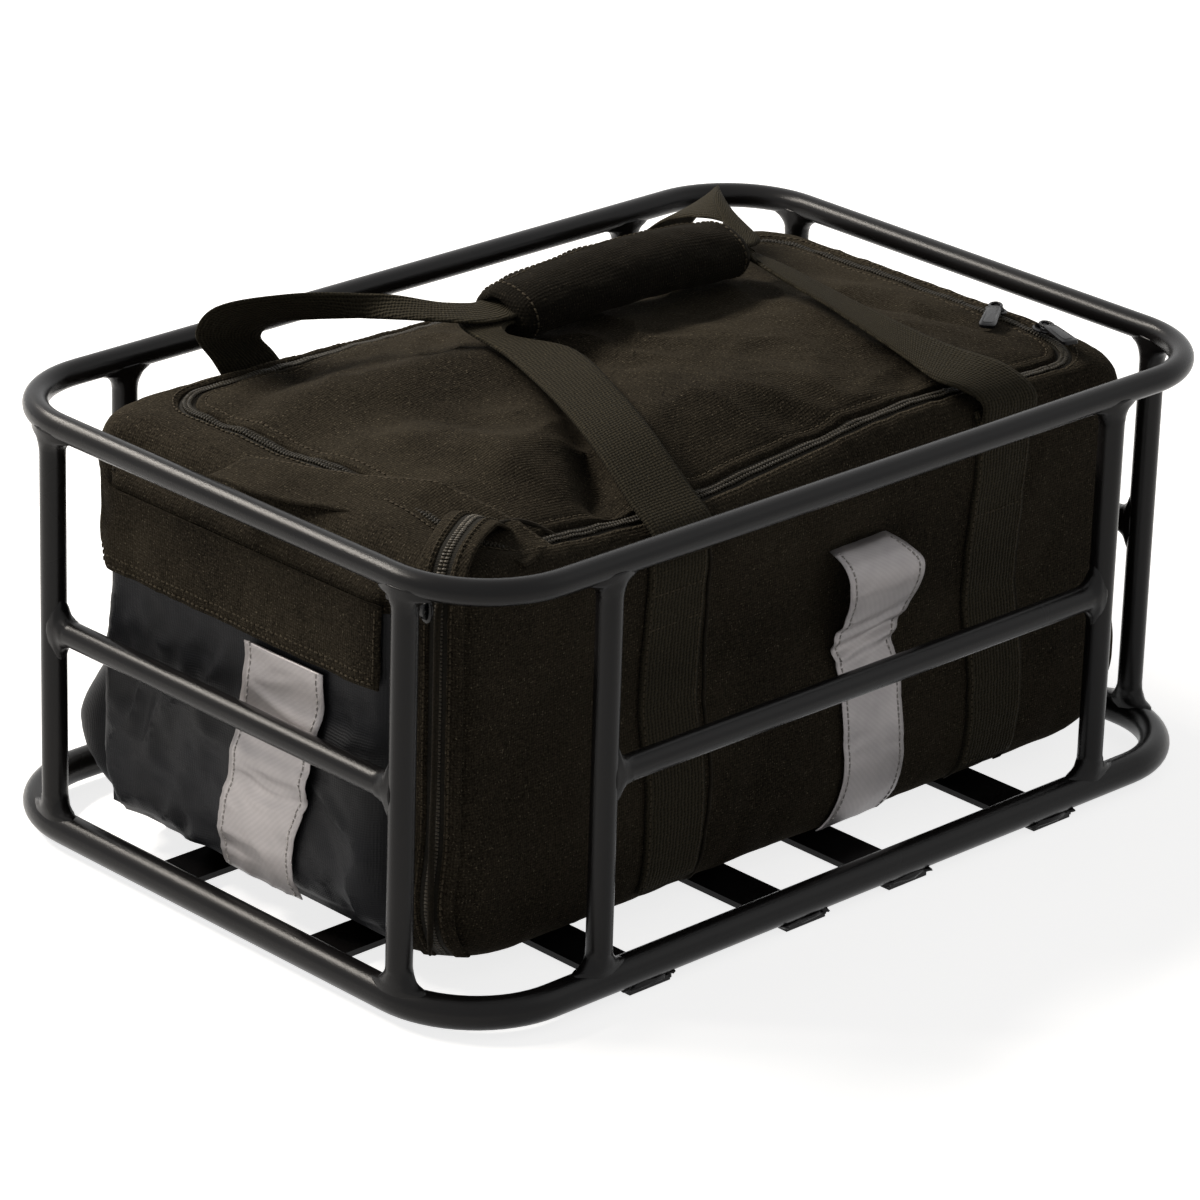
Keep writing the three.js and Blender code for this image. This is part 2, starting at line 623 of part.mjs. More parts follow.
// A pull lies along +X from the eye it turns on.
function pullGeometry(length) {
  const end = new THREE.Vector3(0, PULL_WIDTH / 2, 0);
  const eye = bar(end.clone().negate(), end, PULL_EYE, 10);
  const plate = centredBox(length, PULL_WIDTH, PULL_THICK).translate(length / 2, 0, 0);
  return toGeometry(toSolid(eye).add(toSolid(plate)));
}

function addMainSliders() {
  for (const { name, y, heading, length, droop } of MAIN_SLIDERS) {
    const z = topZ(zipRunX - SLIDER.across / 2, 0) + GAP;
    const slider = add(`main_slider_${name}`, 'metal',
      centredBox(SLIDER.across, SLIDER.along, SLIDER.tall));
    slider.position.set(zipRunX, y, z + SLIDER.tall / 2);
    const pull = add(`main_pull_${name}`, 'metal', pullGeometry(length));
    pull.position.set(zipRunX, y, z + SLIDER.tall + GAP + PULL_EYE);
    pull.rotation.set(0, THREE.MathUtils.degToRad(droop), THREE.MathUtils.degToRad(heading), 'ZYX');
  }
}

function addPocketSlider() {
  const face = bagLeft - GAP - ZIP_THICK - GAP;
  const z = bagZ + pocketZipTop - POCKET_SLIDER_DROP;
  const slider = add('pocket_slider', 'metal',
    centredBox(SLIDER.tall, SLIDER.across, SLIDER.along));
  slider.position.set(face - SLIDER.tall / 2, pocketZipY, z);
  const pull = add('pocket_pull', 'metal', pullGeometry(POCKET_PULL_LENGTH));
  pull.position.set(face - SLIDER.tall - GAP - PULL_EYE, pocketZipY, z);
  pull.quaternion.setFromRotationMatrix(TURNED);
}

// ---- The whole part ----

addRims();
addPosts();
addMidRails();
addSlats();
addBagBody();
addPocket();
addPocketZip();
addEndTape();
addFlap();
addSewnBand('sewn_band_near_left', NEAR_STRAP_X.left, -1);
addSewnBand('sewn_band_near_right', NEAR_STRAP_X.right, -1);
addSewnBand('sewn_band_far_left', FAR_STRAP_X.left, 1);
addSewnBand('sewn_band_far_right', FAR_STRAP_X.right, 1);
addSideTape();
addHandles();
addGrip();
addMainSliders();
addPocketSlider();

export default model;
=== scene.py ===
"""Looks of the welded cargo basket and its duffel bag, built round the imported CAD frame."""

import math

import bmesh
import bpy
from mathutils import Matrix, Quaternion, Vector, noise


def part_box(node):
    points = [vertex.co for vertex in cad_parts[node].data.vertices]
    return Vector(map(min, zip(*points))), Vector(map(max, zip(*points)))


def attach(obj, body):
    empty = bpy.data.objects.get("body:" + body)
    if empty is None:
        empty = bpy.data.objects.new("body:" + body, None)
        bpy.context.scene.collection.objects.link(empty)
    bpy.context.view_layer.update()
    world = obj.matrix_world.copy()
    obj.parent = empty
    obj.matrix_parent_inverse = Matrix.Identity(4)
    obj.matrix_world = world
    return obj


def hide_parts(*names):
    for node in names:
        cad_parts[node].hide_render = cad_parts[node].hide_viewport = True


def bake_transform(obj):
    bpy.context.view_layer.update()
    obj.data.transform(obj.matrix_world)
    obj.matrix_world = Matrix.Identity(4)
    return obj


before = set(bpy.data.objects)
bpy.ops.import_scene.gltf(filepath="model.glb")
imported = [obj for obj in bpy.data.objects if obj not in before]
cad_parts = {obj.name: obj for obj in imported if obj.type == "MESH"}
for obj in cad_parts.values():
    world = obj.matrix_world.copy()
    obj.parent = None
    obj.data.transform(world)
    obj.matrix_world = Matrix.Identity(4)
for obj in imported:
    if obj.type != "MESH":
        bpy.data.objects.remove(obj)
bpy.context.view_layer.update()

MM = 0.001                       # every length below is in millimetres

# ---- Camera ----

CAMERA_PLACE = (-1.866198, -1.898357, 1.222379)
CAMERA_TURN = {"azimuth": -44.39, "elevation": 22.85, "roll": 1.78}
CAMERA_LENS = 176.64
SENSOR = 36


def make_camera():
    azimuth, elevation, roll = (math.radians(a) for a in CAMERA_TURN.values())
    back = Vector((math.sin(azimuth) * math.cos(elevation),
                   -math.cos(azimuth) * math.cos(elevation), math.sin(elevation)))
    data = bpy.data.cameras.new("camera")
    data.sensor_width = SENSOR
    data.lens = CAMERA_LENS
    data.clip_start = 0.01
    data.clip_end = 50
    camera = bpy.data.objects.new("camera", data)
    bpy.context.scene.collection.objects.link(camera)
    camera.location = CAMERA_PLACE
    camera.rotation_mode = "QUATERNION"
    camera.rotation_quaternion = (-back).to_track_quat("-Z", "Y") @ Quaternion((0, 0, 1), roll)
    bpy.context.scene.camera = camera


make_camera()

# ---- Materials ----


def node(tree, kind, inputs=None, **settings):
    """A new shader node. An input is a number, a colour or another node's output."""
    made = tree.nodes.new("ShaderNode" + kind)
    for key, value in settings.items():
        setattr(made, key, value)
    for key, value in (inputs or {}).items():
        if isinstance(value, bpy.types.NodeSocket):
            tree.links.new(value, made.inputs[key])
        else:
            made.inputs[key].default_value = value
    return made


def shader(name, **sockets):
    """A material with a Principled shader, and the constants on that shader's own sockets."""
    made = bpy.data.materials.new(name)
    made.use_nodes = True
    tree = made.node_tree
    tree.nodes.clear()
    out = tree.nodes.new("ShaderNodeOutputMaterial")
    bsdf = tree.nodes.new("ShaderNodeBsdfPrincipled")
    tree.links.new(bsdf.outputs[0], out.inputs[0])
    for key, value in sockets.items():
        bsdf.inputs[key.replace("_", " ")].default_value = value
    return made, tree, bsdf


def rgb(code):
    """A hex colour as the linear colour that renders as it."""
    parts = [int(code[i:i + 2], 16) / 255 for i in (1, 3, 5)]
    return [p / 12.92 if p <= 0.04045 else ((p + 0.055) / 1.055) ** 2.4 for p in parts] + [1]


def ramp(tree, factor, *stops):
    made = node(tree, "ValToRGB", {"Fac": factor})
    elements = made.color_ramp.elements
    while len(elements) < len(stops):
        elements.new(0.5)
    for element, (place, colour) in zip(elements, stops):
        element.position = place
        element.color = colour
    return made.outputs["Color"]


def mixed(tree, factor, a, b, blend="MIX"):
    made = node(tree, "Mix", {"Factor": factor}, data_type="RGBA", blend_type=blend)
    for key, value in (("A_Color", a), ("B_Color", b)):
        socket = next(s for s in made.inputs if s.identifier == key)
        if isinstance(value, bpy.types.NodeSocket):
            tree.links.new(value, socket)
        else:
            socket.default_value = value
    return next(s for s in made.outputs if s.identifier == "Result_Color")


def maths(tree, operation, a, b):
    return node(tree, "Math", {0: a, 1: b}, operation=operation).outputs[0]


def noise_of(tree, place, scale, detail=2.0, roughness=0.5):
    inputs = {"Vector": place, "Scale": scale, "Detail": detail, "Roughness": roughness}
    return node(tree, "TexNoise", inputs).outputs["Fac"]


WAVE = 0.314159                  # a wave texture's scale times its period in metres


def bands(tree, place, period, direction, distortion=0.0):
    """Ridges with the given period in metres."""
    inputs = {"Vector": place, "Scale": WAVE / period, "Distortion": distortion,
              "Detail": 1.0, "Detail Scale": 2.0}
    return node(tree, "TexWave", inputs, bands_direction=direction).outputs["Fac"]


def bumped(tree, bsdf, height, strength, distance):
    inputs = {"Height": height, "Strength": strength, "Distance": distance}
    tree.links.new(node(tree, "Bump", inputs).outputs[0], bsdf.inputs["Normal"])


def coloured(tree, bsdf, colour):
    tree.links.new(colour, bsdf.inputs["Base Color"])


def roughened(tree, bsdf, value, low, high):
    """Roughness from low to high, as the value goes from 0 to 1."""
    spread = node(tree, "MapRange", {"Value": value, "To Min": low, "To Max": high})
    tree.links.new(spread.outputs[0], bsdf.inputs["Roughness"])


def object_place(tree):
    return node(tree, "TexCoord").outputs["Object"]


def powder_coat():
    made, tree, bsdf = shader("powder_coat", Specular_IOR_Level=0.17)
    place = object_place(tree)
    grain = noise_of(tree, place, 1500, 2)
    patch = noise_of(tree, place, 22, 3)
    colour = ramp(tree, patch, (0.3, rgb("#141314")), (0.7, rgb("#1b1a1a")))
    coloured(tree, bsdf, colour)
    roughened(tree, bsdf, patch, 0.22, 0.3)
    bumped(tree, bsdf, grain, 0.35, 0.0002)
    return made


def thread_bands(tree, place, period):
    """Threads along all three axes, each left out on the faces that look along it."""
    facing = node(tree, "SeparateXYZ", {0: node(tree, "TexCoord").outputs["Normal"]}).outputs
    total = None
    for axis, direction in enumerate("XYZ"):
        square = maths(tree, "MULTIPLY", facing[axis], facing[axis])
        share = node(tree, "MapRange", {"Value": square, "From Min": 0.75, "From Max": 0.35}).outputs[0]
        lines = maths(tree, "MULTIPLY", bands(tree, place, period, direction, 1.6), share)
        total = maths(tree, "ADD", total, lines) if total else lines
    return total


def woven(name, dark, light, speck, period, rough, sheen, sheen_colour, specular):
    """Plain-woven cloth: threads both ways on every face, speckled yarn, soft fading and painted shade in the
    weave's grooves.
    """
    made, tree, bsdf = shader(name, Specular_IOR_Level=specular, Sheen_Weight=sheen,
                              Sheen_Roughness=0.45, Sheen_Tint=rgb(sheen_colour))
    place = object_place(tree)
    weave = thread_bands(tree, place, period)
    yarn = noise_of(tree, place, 760, 2, 0.8)
    fade = noise_of(tree, place, 11, 4, 0.6)
    tone = maths(tree, "ADD", maths(tree, "MULTIPLY", fade, 0.45), maths(tree, "MULTIPLY", yarn, 0.75))
    base = ramp(tree, tone, (0.42, rgb(dark)), (0.78, rgb(light)))
    flecks = ramp(tree, noise_of(tree, place, 980, 1, 0.5), (0.66, (0, 0, 0, 1)), (0.74, (1, 1, 1, 1)))
    base = mixed(tree, flecks, base, rgb(speck))
    # The weave's grooves darken the colour: painted shade between the threads.
    groove_shade = ramp(tree, maths(tree, "MULTIPLY", weave, 0.5), (0.1, (0.6, 0.6, 0.6, 1)), (0.9, (1, 1, 1, 1)))
    coloured(tree, bsdf, mixed(tree, 1.0, base, groove_shade, "MULTIPLY"))
    roughened(tree, bsdf, yarn, rough - 0.12, rough)
    height = maths(tree, "ADD", maths(tree, "MULTIPLY", weave, 0.3), maths(tree, "MULTIPLY", yarn, 1.0))
    bumped(tree, bsdf, height, 0.7, 0.0006)
    return made


def webbing():
    """Ribbed webbing, with painted shade in the grooves between its ribs. Its ridges follow the strap's own
    length and width, in metres.
    """
    made, tree, bsdf = shader("webbing", Specular_IOR_Level=0.06, Sheen_Weight=0.08,
                              Sheen_Roughness=0.4, Sheen_Tint=rgb("#6f675a"))
    place = node(tree, "TexCoord").outputs["UV"]
    ribs = bands(tree, place, 0.0022, "X", 2.5)
    picks = bands(tree, place, 0.0016, "Y", 2.0)
    yarn = noise_of(tree, place, 700, 3, 0.7)
    height = maths(tree, "ADD", ribs, maths(tree, "MULTIPLY", picks, 0.45))
    # The colour follows the ribs' height: painted shade, darker in the grooves.
    base = ramp(tree, height, (0.05, rgb("#211f19")), (0.83, rgb("#3a362c")))
    flecks = ramp(tree, yarn, (0.58, (0, 0, 0, 1)), (0.8, (1, 1, 1, 1)))
    coloured(tree, bsdf, mixed(tree, flecks, base, rgb("#655d49")))
    roughened(tree, bsdf, yarn, 0.72, 0.9)
    bumped(tree, bsdf, height, 0.7, 0.0007)
    return made


def nylon():
    made, tree, bsdf = shader("pocket_nylon", Specular_IOR_Level=0.16, Sheen_Weight=0.04,
                              Sheen_Roughness=0.3, Sheen_Tint=rgb("#5a6070"))
    place = object_place(tree)
    threads = thread_bands(tree, place, 0.0012)
    fade = noise_of(tree, place, 16, 4, 0.6)
    base = ramp(tree, fade, (0.35, rgb("#0b0b0d")), (0.7, rgb("#141519")))
    coloured(tree, bsdf, base)
    roughened(tree, bsdf, fade, 0.42, 0.6)
    bumped(tree, bsdf, threads, 0.25, 0.0003)
    return made


def tape_cloth(name, dark, light, rough, specular):
    """Zip tape, piping and thread: fine twill with a little yarn noise."""
    made, tree, bsdf = shader(name, Specular_IOR_Level=specular, Sheen_Weight=0.15,
                              Sheen_Roughness=0.5, Sheen_Tint=rgb("#6f675a"))
    place = object_place(tree)
    yarn = noise_of(tree, place, 900, 3, 0.7)
    twill = bands(tree, place, 0.0011, "DIAGONAL", 0.5)
    base = ramp(tree, yarn, (0.35, rgb(dark)), (0.7, rgb(light)))
    coloured(tree, bsdf, base)
    roughened(tree, bsdf, yarn, rough, rough + 0.15)
    bumped(tree, bsdf, twill, 0.4, 0.0003)
    return made


def black_metal():
    made, tree, bsdf = shader("zip_metal", Specular_IOR_Level=0.2)
    place = object_place(tree)
    worn = noise_of(tree, place, 260, 4, 0.6)
    coloured(tree, bsdf, ramp(tree, worn, (0.4, rgb("#0e0e10")), (0.75, rgb("#1c1c1f"))))
    roughened(tree, bsdf, worn, 0.16, 0.36)
    bumped(tree, bsdf, worn, 0.15, 0.0002)
    return made


def reflective():
    """Silver tape: beaded surface over a faint cross-hatch, dulled in patches."""
    made, tree, bsdf = shader("reflective_tape", Metallic=0.45, Specular_IOR_Level=0.5)
    place = object_place(tree)
    patch = noise_of(tree, place, 26, 3, 0.6)
    beads = noise_of(tree, place, 1700, 1)
    hatch = bands(tree, place, 0.0016, "DIAGONAL", 0.3)
    base = ramp(tree, patch, (0.3, rgb("#9b9798")), (0.7, rgb("#bdb8b8")))
    coloured(tree, bsdf, mixed(tree, maths(tree, "MULTIPLY", hatch, 0.12), base, rgb("#7d7a7c")))
    roughened(tree, bsdf, patch, 0.38, 0.56)
    bumped(tree, bsdf, beads, 0.3, 0.0002)
    return made


COAT = powder_coat()
CLOTH = woven("bag_cloth", "#191612", "#4b453a", "#6f6758", 0.0014, 0.97, 0.05, "#8a7c68", 0.04)
# The grip's cloth is the bag's cloth made darker: painted shade.
SHADED_GRIP_CLOTH = woven("grip_cloth", "#181613", "#2c2923", "#4c463b", 0.0016, 0.97, 0.04, "#8a7c68", 0.04)
WEBBING = webbing()
NYLON = nylon()
ZIP_TAPE = tape_cloth("zip_tape", "#12110e", "#26231c", 0.7, 0.15)
COIL = tape_cloth("zip_coil", "#2a2720", "#6e675a", 0.4, 0.3)
DARK_COIL = tape_cloth("dark_coil", "#1b1914", "#3f3a2f", 0.45, 0.2)
PIPING = tape_cloth("piping", "#16140f", "#2c271f", 0.75, 0.1)
THREAD = tape_cloth("thread", "#332e24", "#5d5445", 0.7, 0.15)
PALE_THREAD = tape_cloth("pale_thread", "#7a7777", "#d6d3d0", 0.5, 0.3)
METAL = black_metal()
TAPE = reflective()

# ---- Meshes ----


def piece(name, verts, faces, material, body=None, slot=None, stands_for=(), sharp=None, uvs=None):
    """A piece from points in millimetres. It rides on the body where one is given."""
    mesh = bpy.data.meshes.new(name)
    mesh.from_pydata([Vector(v) * MM for v in verts], [], faces)
    if uvs:
        layer = mesh.uv_layers.new(name="UVMap")
        for loop in mesh.loops:
            layer.data[loop.index].uv = (uvs[loop.vertex_index][0] * MM, uvs[loop.vertex_index][1] * MM)
    shape = bmesh.new()
    shape.from_mesh(mesh)
    bmesh.ops.recalc_face_normals(shape, faces=shape.faces)
    shape.to_mesh(mesh)
    shape.free()
    mesh.polygons.foreach_set("use_smooth", [True] * len(mesh.polygons))
    if sharp:
        mesh.set_sharp_from_angle(angle=math.radians(sharp))
    mesh.materials.append(material)
    obj = bpy.data.objects.new(name, mesh)
    bpy.context.scene.collection.objects.link(obj)
    if body:
        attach(obj, body)
    if stands_for:
        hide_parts(*stands_for)
    return obj


def skin(rows, wrapped=False, first=0):
    """Faces over closed rows of points, capped at both ends unless the rows are wrapped."""
    count = len(rows[0])
    faces = []
    for i in range(len(rows) if wrapped else len(rows) - 1):
        low = first + i * count
        high = first + (i + 1) % len(rows) * count
        for j in range(count):
            k = (j + 1) % count
            faces.append((low + j, low + k, high + k, high + j))
    if not wrapped:
        last = first + (len(rows) - 1) * count
        faces.append(tuple(range(first + count - 1, first - 1, -1)))
        faces.append(tuple(range(last, last + count)))
    return faces


def rows_piece(name, rows, material, wrapped=False, **how):
    """A piece whose skin runs over rows of points."""
    return piece(name, [p for row in rows for p in row], skin(rows, wrapped), material, **how)


def turns(count):
    """Angles evenly round a circle."""
    return [2 * math.pi * k / count for k in range(count)]


def heading(line, i):
    """The direction of a line of points at one of them."""
    return (line[min(i + 1, len(line) - 1)] - line[max(i - 1, 0)]).normalized()


class Gather:
    """Many small closed shapes gathered into one piece."""

    def __init__(self):
        self.verts = []
        self.faces = []

    def rows(self, rows, **how):
        self.faces += skin(rows, first=len(self.verts), **how)
        self.verts += [p for row in rows for p in row]

    def block(self, middle, along, across, up, taper=0.7):
        """A small block whose top is narrower. The three arrows are its half sizes."""
        rows = []
        for side, share in ((-1, 1.0), (0.4, 1.0), (1, taper)):
            rows.append([middle + up * side + along * (a * share) + across * (b * share)
                         for a, b in ((-1, -1), (1, -1), (1, 1), (-1, 1))])
        self.rows(rows)

    def ball(self, middle, x, y, z, lumps, steps=10):
        """A lumpy ellipsoid."""
        rows = []
        for i in range(1, steps):
            tilt = math.pi * i / steps
            wide = math.sin(tilt)
            ring = []
            for turn in turns(steps + 4):
                arrow = Vector((math.cos(turn) * wide, math.sin(turn) * wide, -math.cos(tilt)))
                bump = 1 + lumps * noise.noise(middle * 0.9 + arrow * 1.7)
                ring.append(middle + Vector((arrow.x * x, arrow.y * y, arrow.z * z)) * bump)
            rows.append(ring)
        self.rows(rows)

    def make(self, name, material, **how):
        return piece(name, self.verts, self.faces, material, **how)


def lerp(a, b, t):
    return a + (b - a) * t


def ease(low, high, value):
    """0 at low, 1 at high, smooth between, whichever of the two is larger."""
    t = min(max((value - low) / (high - low), 0), 1)
    return t * t * (3 - 2 * t)


def curve(rows, at, column):
    """A smooth column of a table between its rows, by the row's first value."""
    i = next((k for k, row in enumerate(rows) if row[0] >= at), len(rows) - 1)
    if i == 0:
        return rows[0][column]
    low, high = rows[i - 1], rows[i]
    before, after = rows[max(i - 2, 0)], rows[min(i + 1, len(rows) - 1)]
    width = high[0] - low[0]
    t = min((at - low[0]) / width, 1)
    start = (high[column] - before[column]) / (high[0] - before[0]) * width
    end = (after[column] - low[column]) / (after[0] - low[0]) * width
    return ((2 * t ** 3 - 3 * t ** 2 + 1) * low[column] + (t ** 3 - 2 * t ** 2 + t) * start
            + (3 * t ** 2 - 2 * t ** 3) * high[column] + (t ** 3 - t ** 2) * end)


def outline(left, right, half, corner, long_steps=96, end_steps=50, bend_steps=10):
    """Points and outward arrows anticlockwise round a rounded rectangle, from its front left."""
    bends = [(right - corner, -half + corner, -90), (right - corner, half - corner, 0),
             (left + corner, half - corner, 90), (left + corner, -half + corner, 180)]
    result = []
    for number, (x, y, start) in enumerate(bends):
        steps = end_steps if number % 2 == 0 else long_steps
        arc = []
        for i in range(bend_steps + 1):
            angle = math.radians(start + 90 * i / bend_steps)
            arrow = Vector((math.cos(angle), math.sin(angle), 0))
            arc.append((Vector((x, y, 0)) + arrow * corner, arrow))
        result += arc
        nx, ny, nstart = bends[(number + 1) % 4]
        angle = math.radians(nstart)
        arrow = Vector((math.cos(angle), math.sin(angle), 0))
        after = Vector((nx, ny, 0)) + arrow * corner
        result += [(arc[-1][0].lerp(after, i / steps), arrow) for i in range(1, steps)]
    return result


def resample(path, step):
    """Evenly spaced points along a line of points."""
    result = [path[0]]
    left = step
    for a, b in zip(path, path[1:]):
        length = (b - a).length
        done = 0.0
        while length - done >= left:
            done += left
            result.append(a.lerp(b, done / length))
            left = step
        left -= length - done
    return result


def catmull(points, steps):
    """A centripetal curve through the points, as the CAD's handles use."""
    pts = [Vector(p) for p in points]
    spans = len(pts) - 1
    result = []
    for k in range(steps + 1):
        place = k / steps * spans
        i = min(int(place), spans - 1)
        t = place - i
        p1, p2 = pts[i], pts[i + 1]
        p0 = pts[i - 1] if i > 0 else p1 * 2 - p2
        p3 = pts[i + 2] if i + 2 <= spans else p2 * 2 - p1
        d0, d1, d2 = ((b - a).length ** 0.5 or 1.0 for a, b in ((p0, p1), (p1, p2), (p2, p3)))
        m1 = ((p1 - p0) / d0 - (p2 - p0) / (d0 + d1) + (p2 - p1) / d1) * d1
        m2 = ((p2 - p1) / d1 - (p3 - p1) / (d1 + d2) + (p3 - p2) / d2) * d1
        result.append(p1 * (2 * t ** 3 - 3 * t ** 2 + 1) + m1 * (t ** 3 - 2 * t ** 2 + t)
                      + p2 * (3 * t ** 2 - 2 * t ** 3) + m2 * (t ** 3 - t ** 2))
    return result


def strap_rows(edge_a, edge_b, thick, across=10, lift=None, facing=None):
    """Closed sections of a flat strap between two edge lines, and their width and length.
    It rises towards facing, a direction, where that is given."""
    count = len(edge_a)
    middles = [(a + b) / 2 for a, b in zip(edge_a, edge_b)]
    rows, uvs, length = [], [], 0.0
    for i in range(count):
        before, after = middles[max(i - 1, 0)], middles[min(i + 1, count - 1)]
        span = edge_b[i] - edge_a[i]
        up = (after - before).cross(span).normalized()
        if facing and up.dot(facing) < 0:
            up = -up
        if i:
            length += (middles[i] - middles[i - 1]).length
        row = []
        for side in (1, -1):
            for k in range(across + 1):
                t = k / across if side > 0 else 1 - k / across
                edge = 0.45 if k in (0, across) else 1.0
                rise = lift(i / (count - 1), t, length) if lift else 0.0
                row.append(edge_a[i] + span * t + up * (side * edge * thick / 2 + rise))
                uvs.append((t * span.length, length))
        rows.append(row)
    return rows, uvs


def strap(name, edge_a, edge_b, thick, material, lift=None, across=10, facing=None, **how):
    rows, uvs = strap_rows(edge_a, edge_b, thick, across, lift, facing)
    return rows_piece(name, rows, material, uvs=uvs, **how)


# Stitches: step, length, width and height.
WEB_STITCH = (3.6, 2.5, 0.7, 0.35)
LID_STITCH = (3.6, 2.5, 0.7, 0.3)
FLAP_STITCH = (3.4, 2.3, 0.7, 0.35)
FOLD_STITCH = (3.4, 2.4, 0.7, 0.3)
TAPE_STITCH = (3.3, 2.3, 0.9, 0.35)


def stitch(gather, path, ups, step, length, wide, high):
    """A row of stitches along a line, standing a little proud of what they hold."""
    lengths = [0.0]
    for a, b in zip(path, path[1:]):
        lengths.append(lengths[-1] + (b - a).length)
    place, i = step / 2, 0
    while place < lengths[-1]:
        while lengths[i + 1] < place:
            i += 1
        t = (place - lengths[i]) / (lengths[i + 1] - lengths[i])
        along = (path[i + 1] - path[i]).normalized()
        up = ups[i].lerp(ups[i + 1], t).normalized()
        across = up.cross(along).normalized()
        gather.block(path[i].lerp(path[i + 1], t), along * (length / 2), across * (wide / 2), up * high, 0.6)
        place += step


def corners(node_name):
    low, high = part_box(node_name)
    return low / MM, high / MM


# ---- Basket ----

RIM_CORNER = 52
FILLET = 10
ROUND = 32                       # sides of a tube


def rim_axis(node_name):
    low, high = corners(node_name)
    radius = (high.z - low.z) / 2
    return radius, (low.z + high.z) / 2, high.x - radius, high.y - radius


def make_rim(node_name):
    radius, axis_z, half_x, half_y = rim_axis(node_name)
    rows = []
    for point, arrow in outline(-half_x, half_x, half_y, RIM_CORNER, 60, 36, 16):
        ring = []
        for turn in turns(ROUND):
            rise = Vector((0, 0, axis_z + radius * math.sin(turn)))
            ring.append(point + arrow * (radius * math.cos(turn)) + rise)
        rows.append(ring)
    rows_piece(node_name + "_tube", rows, COAT, wrapped=True,
          body="rack", slot="powder_coat", stands_for=[node_name])


def fillet_at(distance, radius):
    """How far the weld flares beside a tube's end, by distance from the crossed tube's axis."""
    past = (radius + FILLET - distance) / FILLET
    if past <= 0:
        return 0.0
    return FILLET * (1 - math.sqrt(max(1 - min(past, 1) ** 2, 0)))


def make_member(node_name, start, end, radius, start_radius, end_radius, flare):
    """A straight tube between two tube axes, with a concave weld at each end along flare."""
    along = (end - start).normalized()
    total = (end - start).length
    other = along.cross(flare).normalized()
    near = [start_radius * 0.3 + k * 0.9 for k in range(int((start_radius * 0.7 + FILLET) / 0.9) + 2)]
    far = [total - (end_radius * 0.3 + k * 0.9) for k in range(int((end_radius * 0.7 + FILLET) / 0.9) + 2)]
    middle = [lerp(near[-1], far[-1], k / 16) for k in range(1, 16)]
    rows = []
    for d in near + middle + far[::-1]:
        spread = max(fillet_at(d, start_radius), fillet_at(total - d, end_radius))
        ring = []
        for turn in turns(ROUND):
            c, s = math.cos(turn), math.sin(turn)
            pinch = 1 - 0.25 * min(spread / FILLET, 1) * c * c
            point = start + along * d + flare * ((radius + spread) * c) + other * (radius * s * pinch)
            if spread > 0.4:
                point += (flare * c + other * s) * (0.45 * noise.noise(point * 0.22))
            ring.append(point)
        rows.append(ring)
    rows_piece(node_name + "_tube", rows, COAT,
          body="rack", slot="powder_coat", stands_for=[node_name])


def make_basket():
    for rim in ("top_rim", "base_rim"):
        make_rim(rim)
    tube, top_z, _, half_y = rim_axis("top_rim")
    base_tube, base_z, _, _ = rim_axis("base_rim")
    places = {}
    for name in [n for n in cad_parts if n.startswith("post_")]:
        low, high = corners(name)
        x, y = (low.x + high.x) / 2, (low.y + high.y) / 2
        places[name] = (x, y)
        on_end = name.startswith(("post_left", "post_right"))
        past = max(abs(y) - (half_y - RIM_CORNER), 0) / RIM_CORNER if on_end else 0
        lean = math.asin(past) * math.copysign(1, x * y)
        flare = Vector((-math.sin(lean), math.cos(lean), 0)) if on_end else Vector((1, 0, 0))
        make_member(name, Vector((x, y, base_z)), Vector((x, y, top_z)), tube, base_tube, tube, flare)
    rails = {
        "mid_rail_front": ("post_front_left", "post_front_right"),
        "mid_rail_rear": ("post_rear_left", "post_rear_right"),
        "mid_rail_left": ("post_left_front", "post_left_rear"),
        "mid_rail_right": ("post_right_front", "post_right_rear"),
    }
    for name, (a, b) in rails.items():
        low, high = corners(name)
        z = (low.z + high.z) / 2
        start, end = Vector((*places[a], z)), Vector((*places[b], z))
        make_member(name, start, end, tube, tube, tube, Vector((0, 0, 1)))


def make_slats():
    """The slats keep their CAD shape with broken edges, and get weld beads at the rim."""
    half_y = rim_axis("top_rim")[3]
    welds = Gather()
    for name in [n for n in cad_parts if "slat_" in n]:
        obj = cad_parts[name]
        obj.data.materials.clear()
        obj.data.materials.append(COAT)
        bevel = obj.modifiers.new("edges", "BEVEL")
        bevel.width = 0.7 * MM
        bevel.segments = 3
        bevel.limit_method = "ANGLE"
        low, high = corners(name)
        for side in (-1, 1):
            if name.startswith("cross"):
                x = (low.x + high.x) / 2
                for offset in (-4.2, 3.4):
                    spot = Vector((x, side * (half_y + offset), high.z + 0.6))
                    welds.ball(spot, (high.x - low.x) / 2 - 1.2, 2.6, 1.9, 0.5)
                for edge in (low.x, high.x):
                    welds.ball(Vector((edge, side * half_y, high.z + 0.3)), 3.2, 5.4, 1.8, 0.6)
            else:
                y = (low.y + high.y) / 2
                end = high.x if side > 0 else low.x
                spot = Vector((end + side * 0.4, y, (low.z + high.z) / 2 + 0.6))
                welds.ball(spot, 2.6, (high.y - low.y) / 2 - 1, 2.4, 0.5)
    welds.make("slat_welds", COAT, body="rack", slot="powder_coat")


make_basket()
make_slats()

# ---- Bag: the shape that everything sewn to it follows ----

